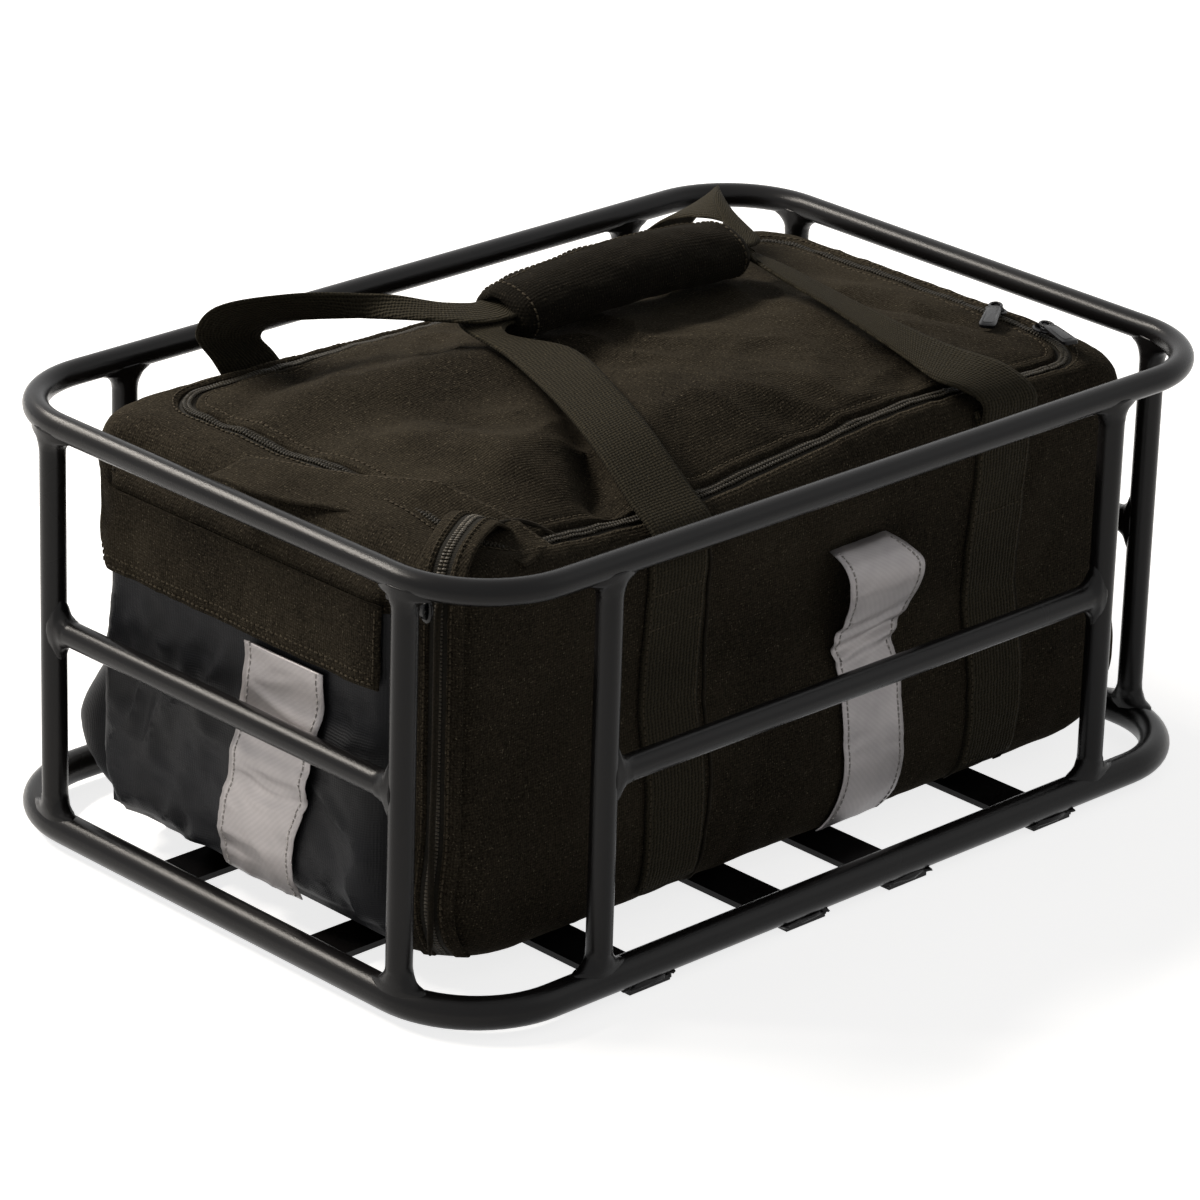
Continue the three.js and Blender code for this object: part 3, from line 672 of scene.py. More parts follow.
SIDE_HEIGHT = 213
CROWN = 11
BAG_CORNER = 24
TOP_INSET = 12
PROFILE = [
    [0, 26, 24], [6, 12, 12], [16, 4, 4], [34, 0, 0], [63.9, 0, 0], [104.4, 7, 0],
    [149.1, 5, 0], [190, 3, 0], [204, 5, 3], [210, 8, 7], [213, 12, 12],
]
BAG_LOW, BAG_HIGH = corners("bag_shell")
LID_LOW, LID_HIGH = corners("lid_panel")
MIDDLE_X = (BAG_LOW.x + BAG_HIGH.x) / 2
HALF_X = (BAG_HIGH.x - BAG_LOW.x) / 2
HALF_Y = BAG_HIGH.y
FLOOR_Z = BAG_LOW.z
EDGE_Z = FLOOR_Z + SIDE_HEIGHT
LID_CORNER = 22
ZIP_GAP = 8.6
NYLON_EDGE = (-196, 150)         # the pocket's nylon wraps the rear left corner up to here

# Dents and folds of the top: from, to, reach and rise, along the line between the two points.
TOP_FOLDS = [
    ((-30, 10), (-104, -100), 17, -12), ((-150, 50), (-70, 30), 34, 8), ((-150, -20), (-124, -56), 28, 7),
    ((-30, -60), (40, -80), 26, 3.5), ((60, 90), (150, 40), 22, -3), ((150, 10), (190, -60), 16, -5),
    ((130, -40), (100, -100), 12, -3), ((60, -10), (130, -20), 30, 3), ((-190, 70), (-120, 96), 14, -4),
    ((-172, -64), (-196, 10), 10, 2.5), ((215, 62), (180, 44), 24, -2.6),
]
# Sags of the upper edges: middle and reach along X, how far down, and which side.
EDGE_SAGS = [(-80, 125, 19, -1), (160, 70, 6, -1), (20, 120, 5, 1)]
RIGHT_SAG = 7
RIGHT_BULGE = 5


# The rear left corner: full at the top, pinched at the middle rail, full again low down.
CORNER_PUSH = [[0, 2], [25, 7], [55, 10.5], [78, 3], [95, -7], [122, -3], [150, 0], [195, 5], [213, 4]]
CORNER_WAY = Vector((-0.72, 0.69, 0))


def corner_push(point):
    """How the rear left corner differs from a plain round one."""
    near = ease(-190, -222, point.x) * ease(88, 122, point.y)
    return CORNER_WAY * (near * curve(CORNER_PUSH, point.z - FLOOR_Z, 1))


def crease(x, y, folds):
    rise = 0.0
    for (ax, ay), (bx, by), reach, height in folds:
        dx, dy = bx - ax, by - ay
        t = min(max(((x - ax) * dx + (y - ay) * dy) / (dx * dx + dy * dy), 0), 1)
        gone = math.hypot(x - ax - t * dx, y - ay - t * dy) / reach
        rise += height * math.exp(-gone * gone * 2)
    return rise


def ruffle(point, size, stretch=(1, 1, 1), seed=0.0):
    """Fine wrinkles from -1 to 1, sharper in their valleys, longer where stretch is small."""
    q = Vector((point.x * stretch[0], point.y * stretch[1], point.z * stretch[2])) / size
    q += Vector((seed, seed * 0.7, seed * 1.3))
    warped = q + Vector((noise.noise(q * 0.7), noise.noise(q * 0.7 + Vector((5, 0, 0))), 0)) * 0.8
    return 1 - 2 * abs(noise.noise(warped)) ** 0.8 * 1.6


def slack(point):
    """How far the cloth lies inside its tight shape, in millimetres. Never outward of it."""
    top = ease(EDGE_Z - 22, EDGE_Z - 4, point.z)
    soft = 1.2 + 1.1 * noise.noise(point / 62) + 0.55 * ruffle(point, 34, (1, 1, 0.6))
    soft += 0.3 * ruffle(point, 13, (1, 1, 0.7), 3.0)
    return max(soft, 0) * (1 - 0.5 * top)


def sag(point):
    """The whole bag's settling, which everything sewn to it shares."""
    result = point.copy()
    high = ease(EDGE_Z - 70, EDGE_Z - 6, point.z)
    result += corner_push(point)
    result.x += RIGHT_BULGE * ease(80, 30, point.z) * ease(190, 236, point.x)
    result.z -= RIGHT_SAG * ease(120, 232, point.x) * high
    for middle, reach, drop, side in EDGE_SAGS:
        near = ease(HALF_Y - 75, HALF_Y - 6, point.y * side)
        window = math.exp(-((point.x - middle) / reach) ** 2)
        result.z -= drop * window * high * near
    return result


def top_z(x, y):
    """The crowned, dented top."""
    u = (x - MIDDLE_X) / (HALF_X - TOP_INSET)
    v = y / (HALF_Y - TOP_INSET)
    ring = min((u ** 4 + v ** 4) ** 0.25, 1)
    soft = 1 - ease(0.8, 1.0, ring)
    lift = crease(x, y, TOP_FOLDS) * soft
    spot = Vector((x, y, 0))
    waves = soft * (2.2 * noise.noise(spot / 48) + 1.3 * ruffle(spot, 46) - 0.6)
    lift += waves + 0.4 * ruffle(spot, 17, (1, 1, 1), 2.0)
    return EDGE_Z + CROWN * (1 - ring * ring) + lift


def panel_point(side, along, height, stand=0.0):
    """A point on an upright panel. side is 'near', 'far', 'left' or 'right'."""
    inset_side, inset_end = curve(PROFILE, height, 1), curve(PROFILE, height, 2)
    if side in ("near", "far"):
        way = -1 if side == "near" else 1
        base = Vector((along, way * (HALF_Y - inset_side), FLOOR_Z + height))
        arrow = Vector((0, way, 0))
    else:
        way = -1 if side == "left" else 1
        base = Vector((MIDDLE_X + way * (HALF_X - inset_end), along, FLOOR_Z + height))
        arrow = Vector((way, 0, 0))
    return sag(base + arrow * (stand - slack(base)))


def top_point(x, y, stand=0.0):
    base = Vector((x, y, top_z(x, y)))
    return sag(base + Vector((0, 0, stand)))


def bag_outline(side_inset, end_inset, corner=BAG_CORNER):
    return outline(MIDDLE_X - HALF_X + end_inset, MIDDLE_X + HALF_X - end_inset, HALF_Y - side_inset, corner)


def lid_outline(grow):
    return outline(LID_LOW.x - grow, LID_HIGH.x + grow, LID_HIGH.y + grow, LID_CORNER + grow)


def corner_at(height):
    """The upright corners' radius: they round out towards the floor."""
    return BAG_CORNER + 12 * ease(62, 4, height)


def make_shell():
    rows = []
    floor_edge = bag_outline(PROFILE[0][1], PROFILE[0][2], corner_at(0))
    centre = Vector((MIDDLE_X, 0, 0))
    for share in (0.04, 0.3, 0.6, 0.85):
        rows.append([centre.lerp(p, share) + Vector((0, 0, FLOOR_Z)) for p, _ in floor_edge])
    heights = [SIDE_HEIGHT * k / 64 for k in range(64)] + [204, 206.5, 208.5, 210.5, 212]
    for height in sorted(heights):
        ring = []
        for p, arrow in bag_outline(curve(PROFILE, height, 1), curve(PROFILE, height, 2), corner_at(height)):
            base = Vector((p.x, p.y, FLOOR_Z + height))
            ring.append(sag(base - arrow * slack(base)))
        rows.append(ring)
    edge = bag_outline(TOP_INSET, TOP_INSET)
    lip = lid_outline(ZIP_GAP)
    for share in (0.0, 0.25, 0.5, 0.75, 0.93):
        ring = []
        for (a, _), (b, _) in zip(edge, lip):
            p = a.lerp(b, share)
            ring.append(top_point(p.x, p.y, 0.9 * math.sin(math.pi * share)))
        rows.append(ring)
    for grow, drop in ((8.6, 0.3), (8.2, 1.4), (8.4, 3.2), (4, 4.2), (-4, 4.6)):
        rows.append([top_point(p.x, p.y, -drop) for p, _ in lid_outline(grow)])
    inner = lid_outline(-4)
    for share in (0.7, 0.4, 0.1):
        rows.append([top_point(*centre.lerp(p, share).xy, -5.5) for p, _ in inner])
    shell = rows_piece("bag_body", rows, CLOTH, body="bag",
                  slot="bag_cloth", stands_for=["bag_shell"])
    shell.data.materials.append(NYLON)
    for face in shell.data.polygons:
        spot = face.center / MM
        if spot.x < NYLON_EDGE[0] and spot.y > 60 and spot.z < NYLON_EDGE[1]:
            face.material_index = 1


def make_lid():
    centre = Vector(((LID_LOW.x + LID_HIGH.x) / 2, 0, 0))
    rows = []
    for grow, rise in ((-6, -3.5), (-1.2, -3.4), (-0.2, -2.6), (0, -1.2), (-0.6, 0.2), (-2, 0.9), (-3.6, 0.7),
                       (-4.6, 0.15), (-5.6, 0.8), (-8, 1.1)):
        rows.append([top_point(p.x, p.y, rise) for p, _ in lid_outline(grow)])
    inner = lid_outline(-8)
    for k in range(1, 34):
        share = 1 - k / 34
        rows.append([top_point(*centre.lerp(p, share).xy, 1.1) for p, _ in inner])
    rows.append([top_point(*centre.lerp(p, 0.004).xy, 1.1) for p, _ in inner])
    rows_piece("bag_lid", rows, CLOTH, body="bag",
          slot="bag_cloth", stands_for=["lid_panel"])


def make_main_zip():
    section = [(8.9, -1.6), (6.4, -1.1), (4.3, -0.9), (2.2, -1.1), (-0.4, -1.6), (-0.4, -2.4),
               (4.3, -1.9), (8.9, -2.4)]
    rows = [[top_point(p.x, p.y, rise) for p, _ in lid_outline(grow)] for grow, rise in section]
    rows_piece("main_zip_tape", rows, ZIP_TAPE, wrapped=True,
          body="bag", slot="zip_tape", stands_for=["main_zip"])
    teeth = Gather()
    lines = [p for p, _ in lid_outline(4.3)]
    spots = resample(lines + [lines[0]], 1.9)
    for a, b in zip(spots, spots[1:]):
        along = (b - a).normalized()
        across = Vector((-along.y, along.x, 0))
        for side in (-1, 1):
            spot = a.lerp(b, 0.25 + 0.25 * side) + across * (side * 1.05)
            middle = top_point(spot.x, spot.y, -0.35)
            teeth.block(middle, along * 0.62, across * 1.15, Vector((0, 0, 0.75)), 0.6)
    teeth.make("main_zip_coil", DARK_COIL, body="bag", slot="zip_tape")


def stitched_ring(gather, grow, rise):
    line = [top_point(p.x, p.y, rise) for p, _ in lid_outline(grow)]
    line = line + [line[0]]
    ups = [Vector((0, 0, 1))] * len(line)
    stitch(gather, line, ups, *LID_STITCH)


make_shell()
make_lid()
make_main_zip()

# ---- Pocket end ----

POCKET_FACE = BAG_LOW.x - 6.8
POCKET_ROWS = [
    [16, -3], [25, 0], [37, 2.8], [61, 4.0], [95, 3.2], [117, 0.8], [130, 0], [170, 0], [186, 0], [190, -2],
]
POCKET_LOW, POCKET_HIGH = corners("end_pocket")
FLAP_LOW, FLAP_HIGH = corners("end_flap")


def pocket_x(y, height):
    """The pocket's loose face: fuller low down, pulled in under the middle rail."""
    spot = Vector((0, y, FLOOR_Z + height))
    loose = 2.2 * noise.noise(spot / 38) + 1.3 * ruffle(spot, 30, (1, 1, 0.8), 5.0)
    loose += 0.45 * ruffle(spot, 12, (1, 1, 1), 1.0)
    loose *= 1 - 0.85 * math.exp(-((y + 19) / 36) ** 4)
    low = ease(20, 40, height) * (1 - ease(95, 125, height))
    under_flap = ease(118, 136, height)
    fade = min(ease(POCKET_LOW.y, POCKET_LOW.y + 12, y), 1 - ease(POCKET_HIGH.y - 12, POCKET_HIGH.y, y))
    out = curve(POCKET_ROWS, height, 1) + (1.7 * loose + 1.2 * low) * (1 - 0.85 * under_flap) * fade
    return POCKET_FACE - out - (1 - fade) * -2.5


def slab(front, back):
    """Rows of closed sections: each front row, then its back row the other way."""
    return [list(f) + list(reversed(b)) for f, b in zip(front, back)]


def make_pocket():
    low_h, high_h = POCKET_LOW.z - FLOOR_Z, POCKET_HIGH.z - FLOOR_Z
    columns, steps = 64, 60
    front, back = [], []
    for i in range(steps + 1):
        t = i / steps
        height = lerp(low_h, high_h, t)
        tuck = 4.5 * (1 - ease(0, 0.05, t)) + 3.5 * ease(0.97, 1, t)
        row, behind = [], []
        for j in range(columns + 1):
            s = j / columns
            y = lerp(POCKET_LOW.y, POCKET_HIGH.y, s)
            edge = 5.0 * ((1 - ease(0, 0.03, s)) + ease(0.97, 1, s))
            x = min(pocket_x(y, height) + tuck + edge, BAG_LOW.x - 0.6)
            row.append(Vector((x, y, FLOOR_Z + height)))
            behind.append(Vector((BAG_LOW.x + 2.5, y, FLOOR_Z + height)))
        front.append(row)
        back.append(behind)
    rows = slab(front, back)
    pocket = rows_piece("pocket_cloth", rows, NYLON, body="bag",
                   slot="pocket_nylon", stands_for=["end_pocket"])
    pocket.data.materials.append(CLOTH)
    for face in pocket.data.polygons:
        if face.center.z / MM > HINGE.z - 4:
            face.material_index = 1


HINGE = Vector((FLAP_LOW.x + 2.3, 0, FLAP_HIGH.z - 2.3))
FLAP_LENGTH = HINGE.z - FLAP_LOW.z
FLAP_CUT = 10
FLAP_FACE = 1.25                 # from the flap's middle to its stitches


def flap_edge(y):
    """How far down the flap reaches at a Y, its far lower corner cut off."""
    cut = max(y - (FLAP_HIGH.y - FLAP_CUT), 0)
    return FLAP_LENGTH - cut


def flap_x(y, down):
    spot = Vector((0, y, down))
    wave = 0.9 * noise.noise(spot / 26) + 0.5 * ruffle(spot, 17, (1, 1, 0.7), 7.0)
    wrap = 5.5 * ease(92, 114, y) ** 1.5 + 2 * ease(-78, -92, y)
    return HINGE.x + wrap - wave * ease(3, 20, down) - 0.8 * ease(10, 41, down)


def make_flap():
    columns, steps = 70, 22
    front, back = [], []
    for i in range(steps + 1):
        row, behind = [], []
        for j in range(columns + 1):
            y = lerp(FLAP_LOW.y, FLAP_HIGH.y, j / columns)
            down = flap_edge(y) * i / steps
            hem = 0.5 if i >= steps - 1 or j in (0, columns) else 1.15
            x = flap_x(y, down)
            row.append(Vector((x - hem, y, HINGE.z - down)))
            behind.append(Vector((x + hem, y, HINGE.z - down)))
        front.append(row)
        back.append(behind)
    rows = slab(front, back)
    flap = rows_piece("flap_cloth", rows, CLOTH, body="end_flap",
                 slot="bag_cloth", stands_for=["end_flap"])
    threads = Gather()
    for inset in (2.6, 7.0):
        ys = [lerp(FLAP_LOW.y + inset, FLAP_HIGH.y - inset, k / 60) for k in range(61)]
        line = [Vector((flap_x(y, flap_edge(y) - inset) - FLAP_FACE, y, HINGE.z - flap_edge(y) + inset))
                for y in ys]
        stitch(threads, line, [Vector((-1, 0, 0))] * len(line), *FLAP_STITCH)
    for y in (FLAP_LOW.y + 2.6, FLAP_HIGH.y - 2.6):
        line = [Vector((flap_x(y, d) - FLAP_FACE, y, HINGE.z - d))
                for d in range(2, int(flap_edge(y)) - 3, 3)]
        stitch(threads, line, [Vector((-1, 0, 0))] * len(line), *FLAP_STITCH)
    threads.make("flap_stitches", THREAD, body="end_flap", slot="bag_cloth")


ZIP_LEAN = 11                    # how far the slack cloth pulls the pocket's zip to the near side


def corner_x(y, height):
    """Where the near left corner's skin stands at a Y and height, with room for the zip's tape."""
    inset_side, inset_end = curve(PROFILE, height, 1), curve(PROFILE, height, 2)
    radius = corner_at(height)
    past = max(abs(y) - (HALF_Y - inset_side - radius), 0)
    return BAG_LOW.x + inset_end + radius - math.sqrt(max(radius * radius - past * past, 0)) - 1.4


def pocket_zip_path():
    """The pocket's zip up the end panel and over the upper edge: points and outward arrows."""
    low, high = corners("pocket_zip")
    y = (low.y + high.y) / 2 - ZIP_LEAN
    x = corner_x(y, 100)
    past = abs(y) - (HALF_Y - BAG_CORNER)
    turn = math.asin(max(past, 0) / BAG_CORNER)
    side = (-math.cos(turn), -math.sin(turn), 0)
    foot = [(corner_x(y + shift, height), y + shift, FLOOR_Z + height)
            for height, shift in ((12, 2), (22, 1), (40, 0))]
    points = foot + [(x, y, 80), (x, y, 120), (x, y, 160), (x, y, 196), (x + 2.5, y + 2, 209),
                     (x + 10, y + 6, 217), (x + 24, y + 13, 221.5), (x + 40, y + 21, 221.5),
                     (x + 54, y + 26, 214)]
    ups = [side] * 7
    ups += [(-0.85, -0.3, 0.35), (-0.55, -0.15, 0.8), (-0.15, 0, 1), (0.1, 0, 1), (0.3, 0, 1)]
    line = catmull(points, 90)
    arrows = catmull(ups, 90)
    return line, [a.normalized() for a in arrows]


def make_pocket_zip():
    line, ups = pocket_zip_path()
    acrosses = []
    for i, up in enumerate(ups):
        along = heading(line, i)
        acrosses.append(up.cross(along).normalized())
    edge_a = [p + c * 6.5 for p, c in zip(line, acrosses)]
    edge_b = [p - c * 6.5 for p, c in zip(line, acrosses)]
    strap("pocket_zip_tape", edge_a, edge_b, 1.2, ZIP_TAPE, body="bag", slot="zip_tape",
          stands_for=["pocket_zip"])
    for number, side in enumerate((-1, 1)):
        hem_a = [p + c * (side * 4.6) + u * 0.6 for p, c, u in zip(line, acrosses, ups)]
        hem_b = [p + c * (side * 12.5) - u * 0.3 for p, c, u in zip(line, acrosses, ups)]
        strap(f"pocket_zip_hem_{number + 1}", hem_a, hem_b, 1.8, CLOTH, body="bag", slot="bag_cloth")
    teeth, threads = Gather(), Gather()
    lines = ((1.1, teeth, 1.9, (1.15, 2.0), 1.0), (6.6, threads, 3.2, (2.1, 0.6), 1.7))
    for side in (-1, 1):
        for offset, gather, step, size, rise in lines:
            path = [p + c * (side * offset) + u * rise for p, c, u in zip(line, acrosses, ups)]
            stitch(gather, path, ups, step, size[0], size[1], 0.5)
    teeth.make("pocket_zip_coil", COIL, body="bag", slot="zip_tape")
    threads.make("pocket_zip_stitches", THREAD, body="bag", slot="bag_cloth")


# The left band's free edge over the lid, from the zip's hidden end to the near side.
FOLD_LINE = [(-206, 30), (-203, 2), (-190, -32), (-174, -62), (-162, -92), (-152, -116)]
# The piped seam beside the pocket's zip, over the shoulder to the near side.
SHOULDER_LINE = [(-226, -119, 24), (-226.5, -119, 70), (-226.5, -120, 120), (-226.5, -120, 170),
                 (-225, -119, 200), (-220, -117, 213), (-206, -113, 220.5), (-186, -104, 223),
                 (-168, -98, 223),
                 (-154, -100, 222), (-145, -110, 219), (-140, -122, 213), (-139, -130, 203)]
PANEL_SEAMS = [(-120, -8), (-64, 3), (116, 2), (152, 3)]


def make_band_fold():
    spots = catmull([(x, y, 0) for x, y in FOLD_LINE], 60)
    columns, width = 14, 30
    upper, lower = [], []
    for i, p in enumerate(spots):
        along = heading(spots, i)
        out = Vector((along.y, -along.x, 0))
        if out.x > 0:
            out = -out
        end = ease(-4, 12, i) * ease(64, 52, i)
        top, under = [], []
        for k in range(columns + 1):
            t = k / columns
            q = p + out * (width * t)
            rise = lerp(3.4 * end, -0.8, ease(0.1, 1, t)) - (0.9 if k == 0 else 0)
            top.append(top_point(q.x, q.y, rise))
            under.append(top_point(q.x, q.y, rise - 1.4))
        upper.append(top)
        lower.append(under)
    rows = slab(upper, lower)
    rows_piece("band_fold", rows, CLOTH, body="bag", slot="bag_cloth")
    threads = Gather()
    line = [row[1].lerp(row[2], 0.3) for row in upper]
    stitch(threads, line, [Vector((0, 0, 1))] * len(line), *FOLD_STITCH)
    threads.make("band_fold_stitches", THREAD, body="bag", slot="bag_cloth")


def cord_piping(name, line, radius, material):
    """A thin round seam along a line."""
    rows = []
    for i, p in enumerate(line):
        along = heading(line, i)
        side = along.cross(Vector((0.3, -0.5, 0.8))).normalized()
        up = side.cross(along)
        end = 0.4 if i in (0, len(line) - 1) else 1.0
        rows.append([p + side * (math.cos(a) * radius * end) + up * (math.sin(a) * radius * end)
                     for a in turns(10)])
    rows_piece(name, rows, material, body="bag", slot="bag_cloth")


def make_seams():
    cord_piping("shoulder_seam", [sag(p) for p in catmull(SHOULDER_LINE, 90)], 1.5, PIPING)
    for side in ("near", "far"):
        for number, (x, lean) in enumerate(PANEL_SEAMS):
            line = []
            for k in range(61):
                height = lerp(6, SIDE_HEIGHT - 8, k / 60)
                wander = lean * math.sin(height / 62) + 1.2 * noise.noise(Vector((x, height / 24, 0)))
                line.append(panel_point(side, x + wander, height, 0.5))
            cord_piping(f"{side}_seam_{number + 1}", line, 0.9, PIPING)
    for number, (height, rise) in enumerate(((SIDE_HEIGHT - 17, 1.2), (SIDE_HEIGHT - 25, 0.8))):
        line = []
        for k in range(121):
            y = lerp(-100, 106, k / 120)
            p = panel_point("left", y, height + 1.6 * noise.noise(Vector((y / 12, number * 9, 0))), rise)
            line.append(p + Vector((1.5 * noise.noise(Vector((y / 7, 3, number))), 0, 0)))
        cord_piping(f"end_seam_{number + 1}", line, 1.0, PIPING)


make_pocket()
make_flap()
make_pocket_zip()
make_band_fold()
make_seams()

# ---- Webbing and reflective tape ----

WEB_THICK = 2.0
STAND = 1.3


def band_edges(side, x, width, low, high, steps=60):
    edges = []
    for shift in (-width / 2, width / 2):
        edges.append([panel_point(side, x + shift, lerp(low, high, k / steps), STAND)
                      for k in range(steps + 1)])
    return edges


def make_sewn_bands():
    threads = Gather()
    for name in [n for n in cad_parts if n.startswith("sewn_band")]:
        low, high = corners(name)
        x, width = (low.x + high.x) / 2, high.x - low.x
        side = "near" if low.y < 0 else "far"
        bottom, top = 14, SIDE_HEIGHT - 5
        a, b = band_edges(side, x, width, bottom, top)
        strap(name + "_web", a, b, WEB_THICK, WEBBING, body="bag", slot="webbing", stands_for=[name])
        up = Vector((0, -1 if side == "near" else 1, 0))
        for shift in (-width / 2 + 2.2, width / 2 - 2.2):
            line = [panel_point(side, x + shift, lerp(bottom + 3, top, k / 50), STAND + 1.0)
                    for k in range(51)]
            stitch(threads, line, [up] * 51, *WEB_STITCH)
        for height in (bottom + 3, top - 34, top - 60):
            line = [panel_point(side, x + width * (k / 12 - 0.5) * 0.88, height, STAND + 1.0)
                    for k in range(13)]
            stitch(threads, line, [up] * 13, *WEB_STITCH)
    threads.make("band_stitches", THREAD, body="bag", slot="webbing")


def make_tape(name, edge_a, edge_b, lift, facing):
    """Reflective tape with a stitched line along each edge of its outer face."""
    strap(name + "_strip", edge_a, edge_b, TAPE_THICK, TAPE, lift=lift, across=TAPE_ACROSS, facing=facing,
          body="bag", slot="reflective_tape", stands_for=[name])
    rows, _ = strap_rows(edge_a, edge_b, TAPE_THICK, TAPE_ACROSS, lift, facing)
    threads = Gather()
    for column, inner in ((1, 2), (15, 14)):
        line = [row[column].lerp(row[inner], 0.2) for row in rows]
        ups = [(row[column] - row[33 - column]).normalized() for row in rows]
        stitch(threads, line, ups, *TAPE_STITCH)
    threads.make(name + "_stitches", PALE_THREAD, body="bag", slot="reflective_tape")


# The end tape's middle: height and Y.
TAPE_SWAY = [[10, -15], [30, -11], [52, -14], [86, -24], [110, -26.5], [140, -27]]


END_TAPE_HALF = 27
TAPE_THICK = 1.1
TAPE_ACROSS = 16


def make_end_tape():
    low, high = corners("end_reflective_tape")
    bottom, top = 19.0, high.z - FLOOR_Z + 2
    steps = 60
    edges = [[], []]
    for k in range(steps + 1):
        height = lerp(bottom, top, k / steps)
        y = curve(TAPE_SWAY, height, 1) + 0.8 * math.sin(height / 17)
        for edge, shift in zip(edges, (-END_TAPE_HALF, END_TAPE_HALF)):
            x = pocket_x(y + shift, max(height, 20)) - 2.0 + 0.25 * max(20 - height, 0)
            edge.append(Vector((x, y + shift, FLOOR_Z + height)))

    def lift(t, across, length):
        height = lerp(bottom, top, t)
        puff = 2.2 * math.exp(-((height - 84) / 9) ** 2) * (0.6 + 0.5 * across)
        return puff + 0.7 * ruffle(Vector((across * 40, length, 0)), 19, (1, 1, 1), 4.0) + 0.7

    make_tape("end_reflective_tape", edges[0], edges[1], lift, Vector((-1, 0, 0)))


LOOP = [[0, 0], [84, 0], [97, 1], [108, 4], [120, 10], [132, 15], [142, 15.5],
        [149, 13], [154, 8], [157, 0.5]]
LOOP_FOOT, LOOP_TOP = 9, 157
LOOP_SHIFT = [[0, -8, -2], [30, 4, 6], [60, 4, 4], [86, 4, 3], [98, 1, -1], [110, -3, 0], [122, -3, 2],
              [134, -5, 3], [144, -6, 3], [151, -7, -3], [157, -7, -9]]


def make_side_tape():
    low, high = corners("side_reflective_tape")
    x = (low.x + high.x) / 2
    half = (high.x - low.x) / 2
    steps = 90
    edges = [[], []]
    for k in range(steps + 1):
        height = lerp(LOOP_FOOT, LOOP_TOP, k / steps)
        off = curve(LOOP, height, 1)
        for edge, side, column in ((edges[0], -1, 1), (edges[1], 1, 2)):
            shift = curve(LOOP_SHIFT, height, column)
            edge.append(panel_point("near", x + side * half + shift, height, 1.4 + off))

    def lift(t, across, length):
        height = lerp(LOOP_FOOT, LOOP_TOP, t)
        crumple = math.exp(-((height - 107) / 13) ** 2)
        diagonal = math.sin(length * 0.5 - across * 5)
        fine = ruffle(Vector((across * 41, length, 0)), 13, (0.6, 1, 1), 6.0)
        return 1.1 * crumple * diagonal + 0.45 * fine * (0.4 + crumple) + 0.8

    make_tape("side_reflective_tape", edges[0], edges[1], lift, Vector((0, -1, 0)))


make_sewn_bands()
make_end_tape()
make_side_tape()

# ---- Handles ----

STRAP_WIDTH = 38
GRIP_WEB = 26
STEPS = 150
LEAD = 0.04
FOOT_INSET, FOOT_STAND, FOOT_HEIGHT = 3, 2.25, 200.3
# Points of each edge by share of the way from its foot to the grip: along X, across Y, up.
NEAR_LEGS = {
    "leftOuter": [(0, 0, 0.02), (0.03, 0.1, 0.42), (0.15, 0.27, 0.54), (0.35, 0.49, 0.7),
                  (0.56, 0.74, 0.86), (0.68, 0.96, 0.98)],
    "leftInner": [(0, 0, 0.02), (0.07, 0.11, 0.42), (0.27, 0.3, 0.58), (0.67, 0.54, 0.74),
                  (1.07, 0.79, 0.86), (0.53, 0.95, 0.98)],
    "rightOuter": [(0, 0, 0.02), (0.2, 0.07, 0.42), (0.55, 0.2, 0.52), (0.8, 0.38, 0.62), (0.72, 0.6, 0.74),
                   (0.7, 0.81, 0.88), (0.85, 0.97, 0.98)],
    "rightInner": [(0, 0, 0.02), (-3, 0.04, 0.34), (-5.3, 0.09, 0.44), (-4.3, 0.25, 0.52), (-3.3, 0.43, 0.62),
                   (-2, 0.6, 0.74), (-0.7, 0.81, 0.88), (0.67, 0.95, 0.98)],
}
FAR_LEGS = {
    "leftOuter": [(-0.1, 0, 0.08), (-0.24, 0.04, 0.72), (-0.22, 0.18, 1.25), (0.1, 0.44, 1.46),
                  (0.57, 0.72, 1.28), (0.8, 0.92, 1.07)],
    "leftInner": [(-0.17, 0, 0.01), (-0.37, 0.05, 0.44), (-0.37, 0.18, 0.79), (-0.03, 0.44, 0.93),
                  (0.3, 0.75, 1.02), (0.67, 0.96, 1)],
    "rightOuter": [(-0.14, 0, 0.08), (-0.34, 0.06, 0.62), (-0.3, 0.18, 1.0), (-0.05, 0.36, 1.2),
                   (0.3, 0.56, 1.24), (0.55, 0.76, 1.16), (0.7, 0.93, 1.05)],
    "rightInner": [(-0.42, 0, 0.01), (-1.1, 0.11, 0.5), (-1.1, 0.46, 0.9), (-0.7, 0.77, 0.98),
                   (-0.2, 0.96, 1.0)],
}
GRIP_LOW, GRIP_HIGH = corners("handle_grip")
GRIP_MIDDLE = (GRIP_LOW + GRIP_HIGH) / 2
FEET_X = {"near": (-85, 135), "far": (-115, 150)}


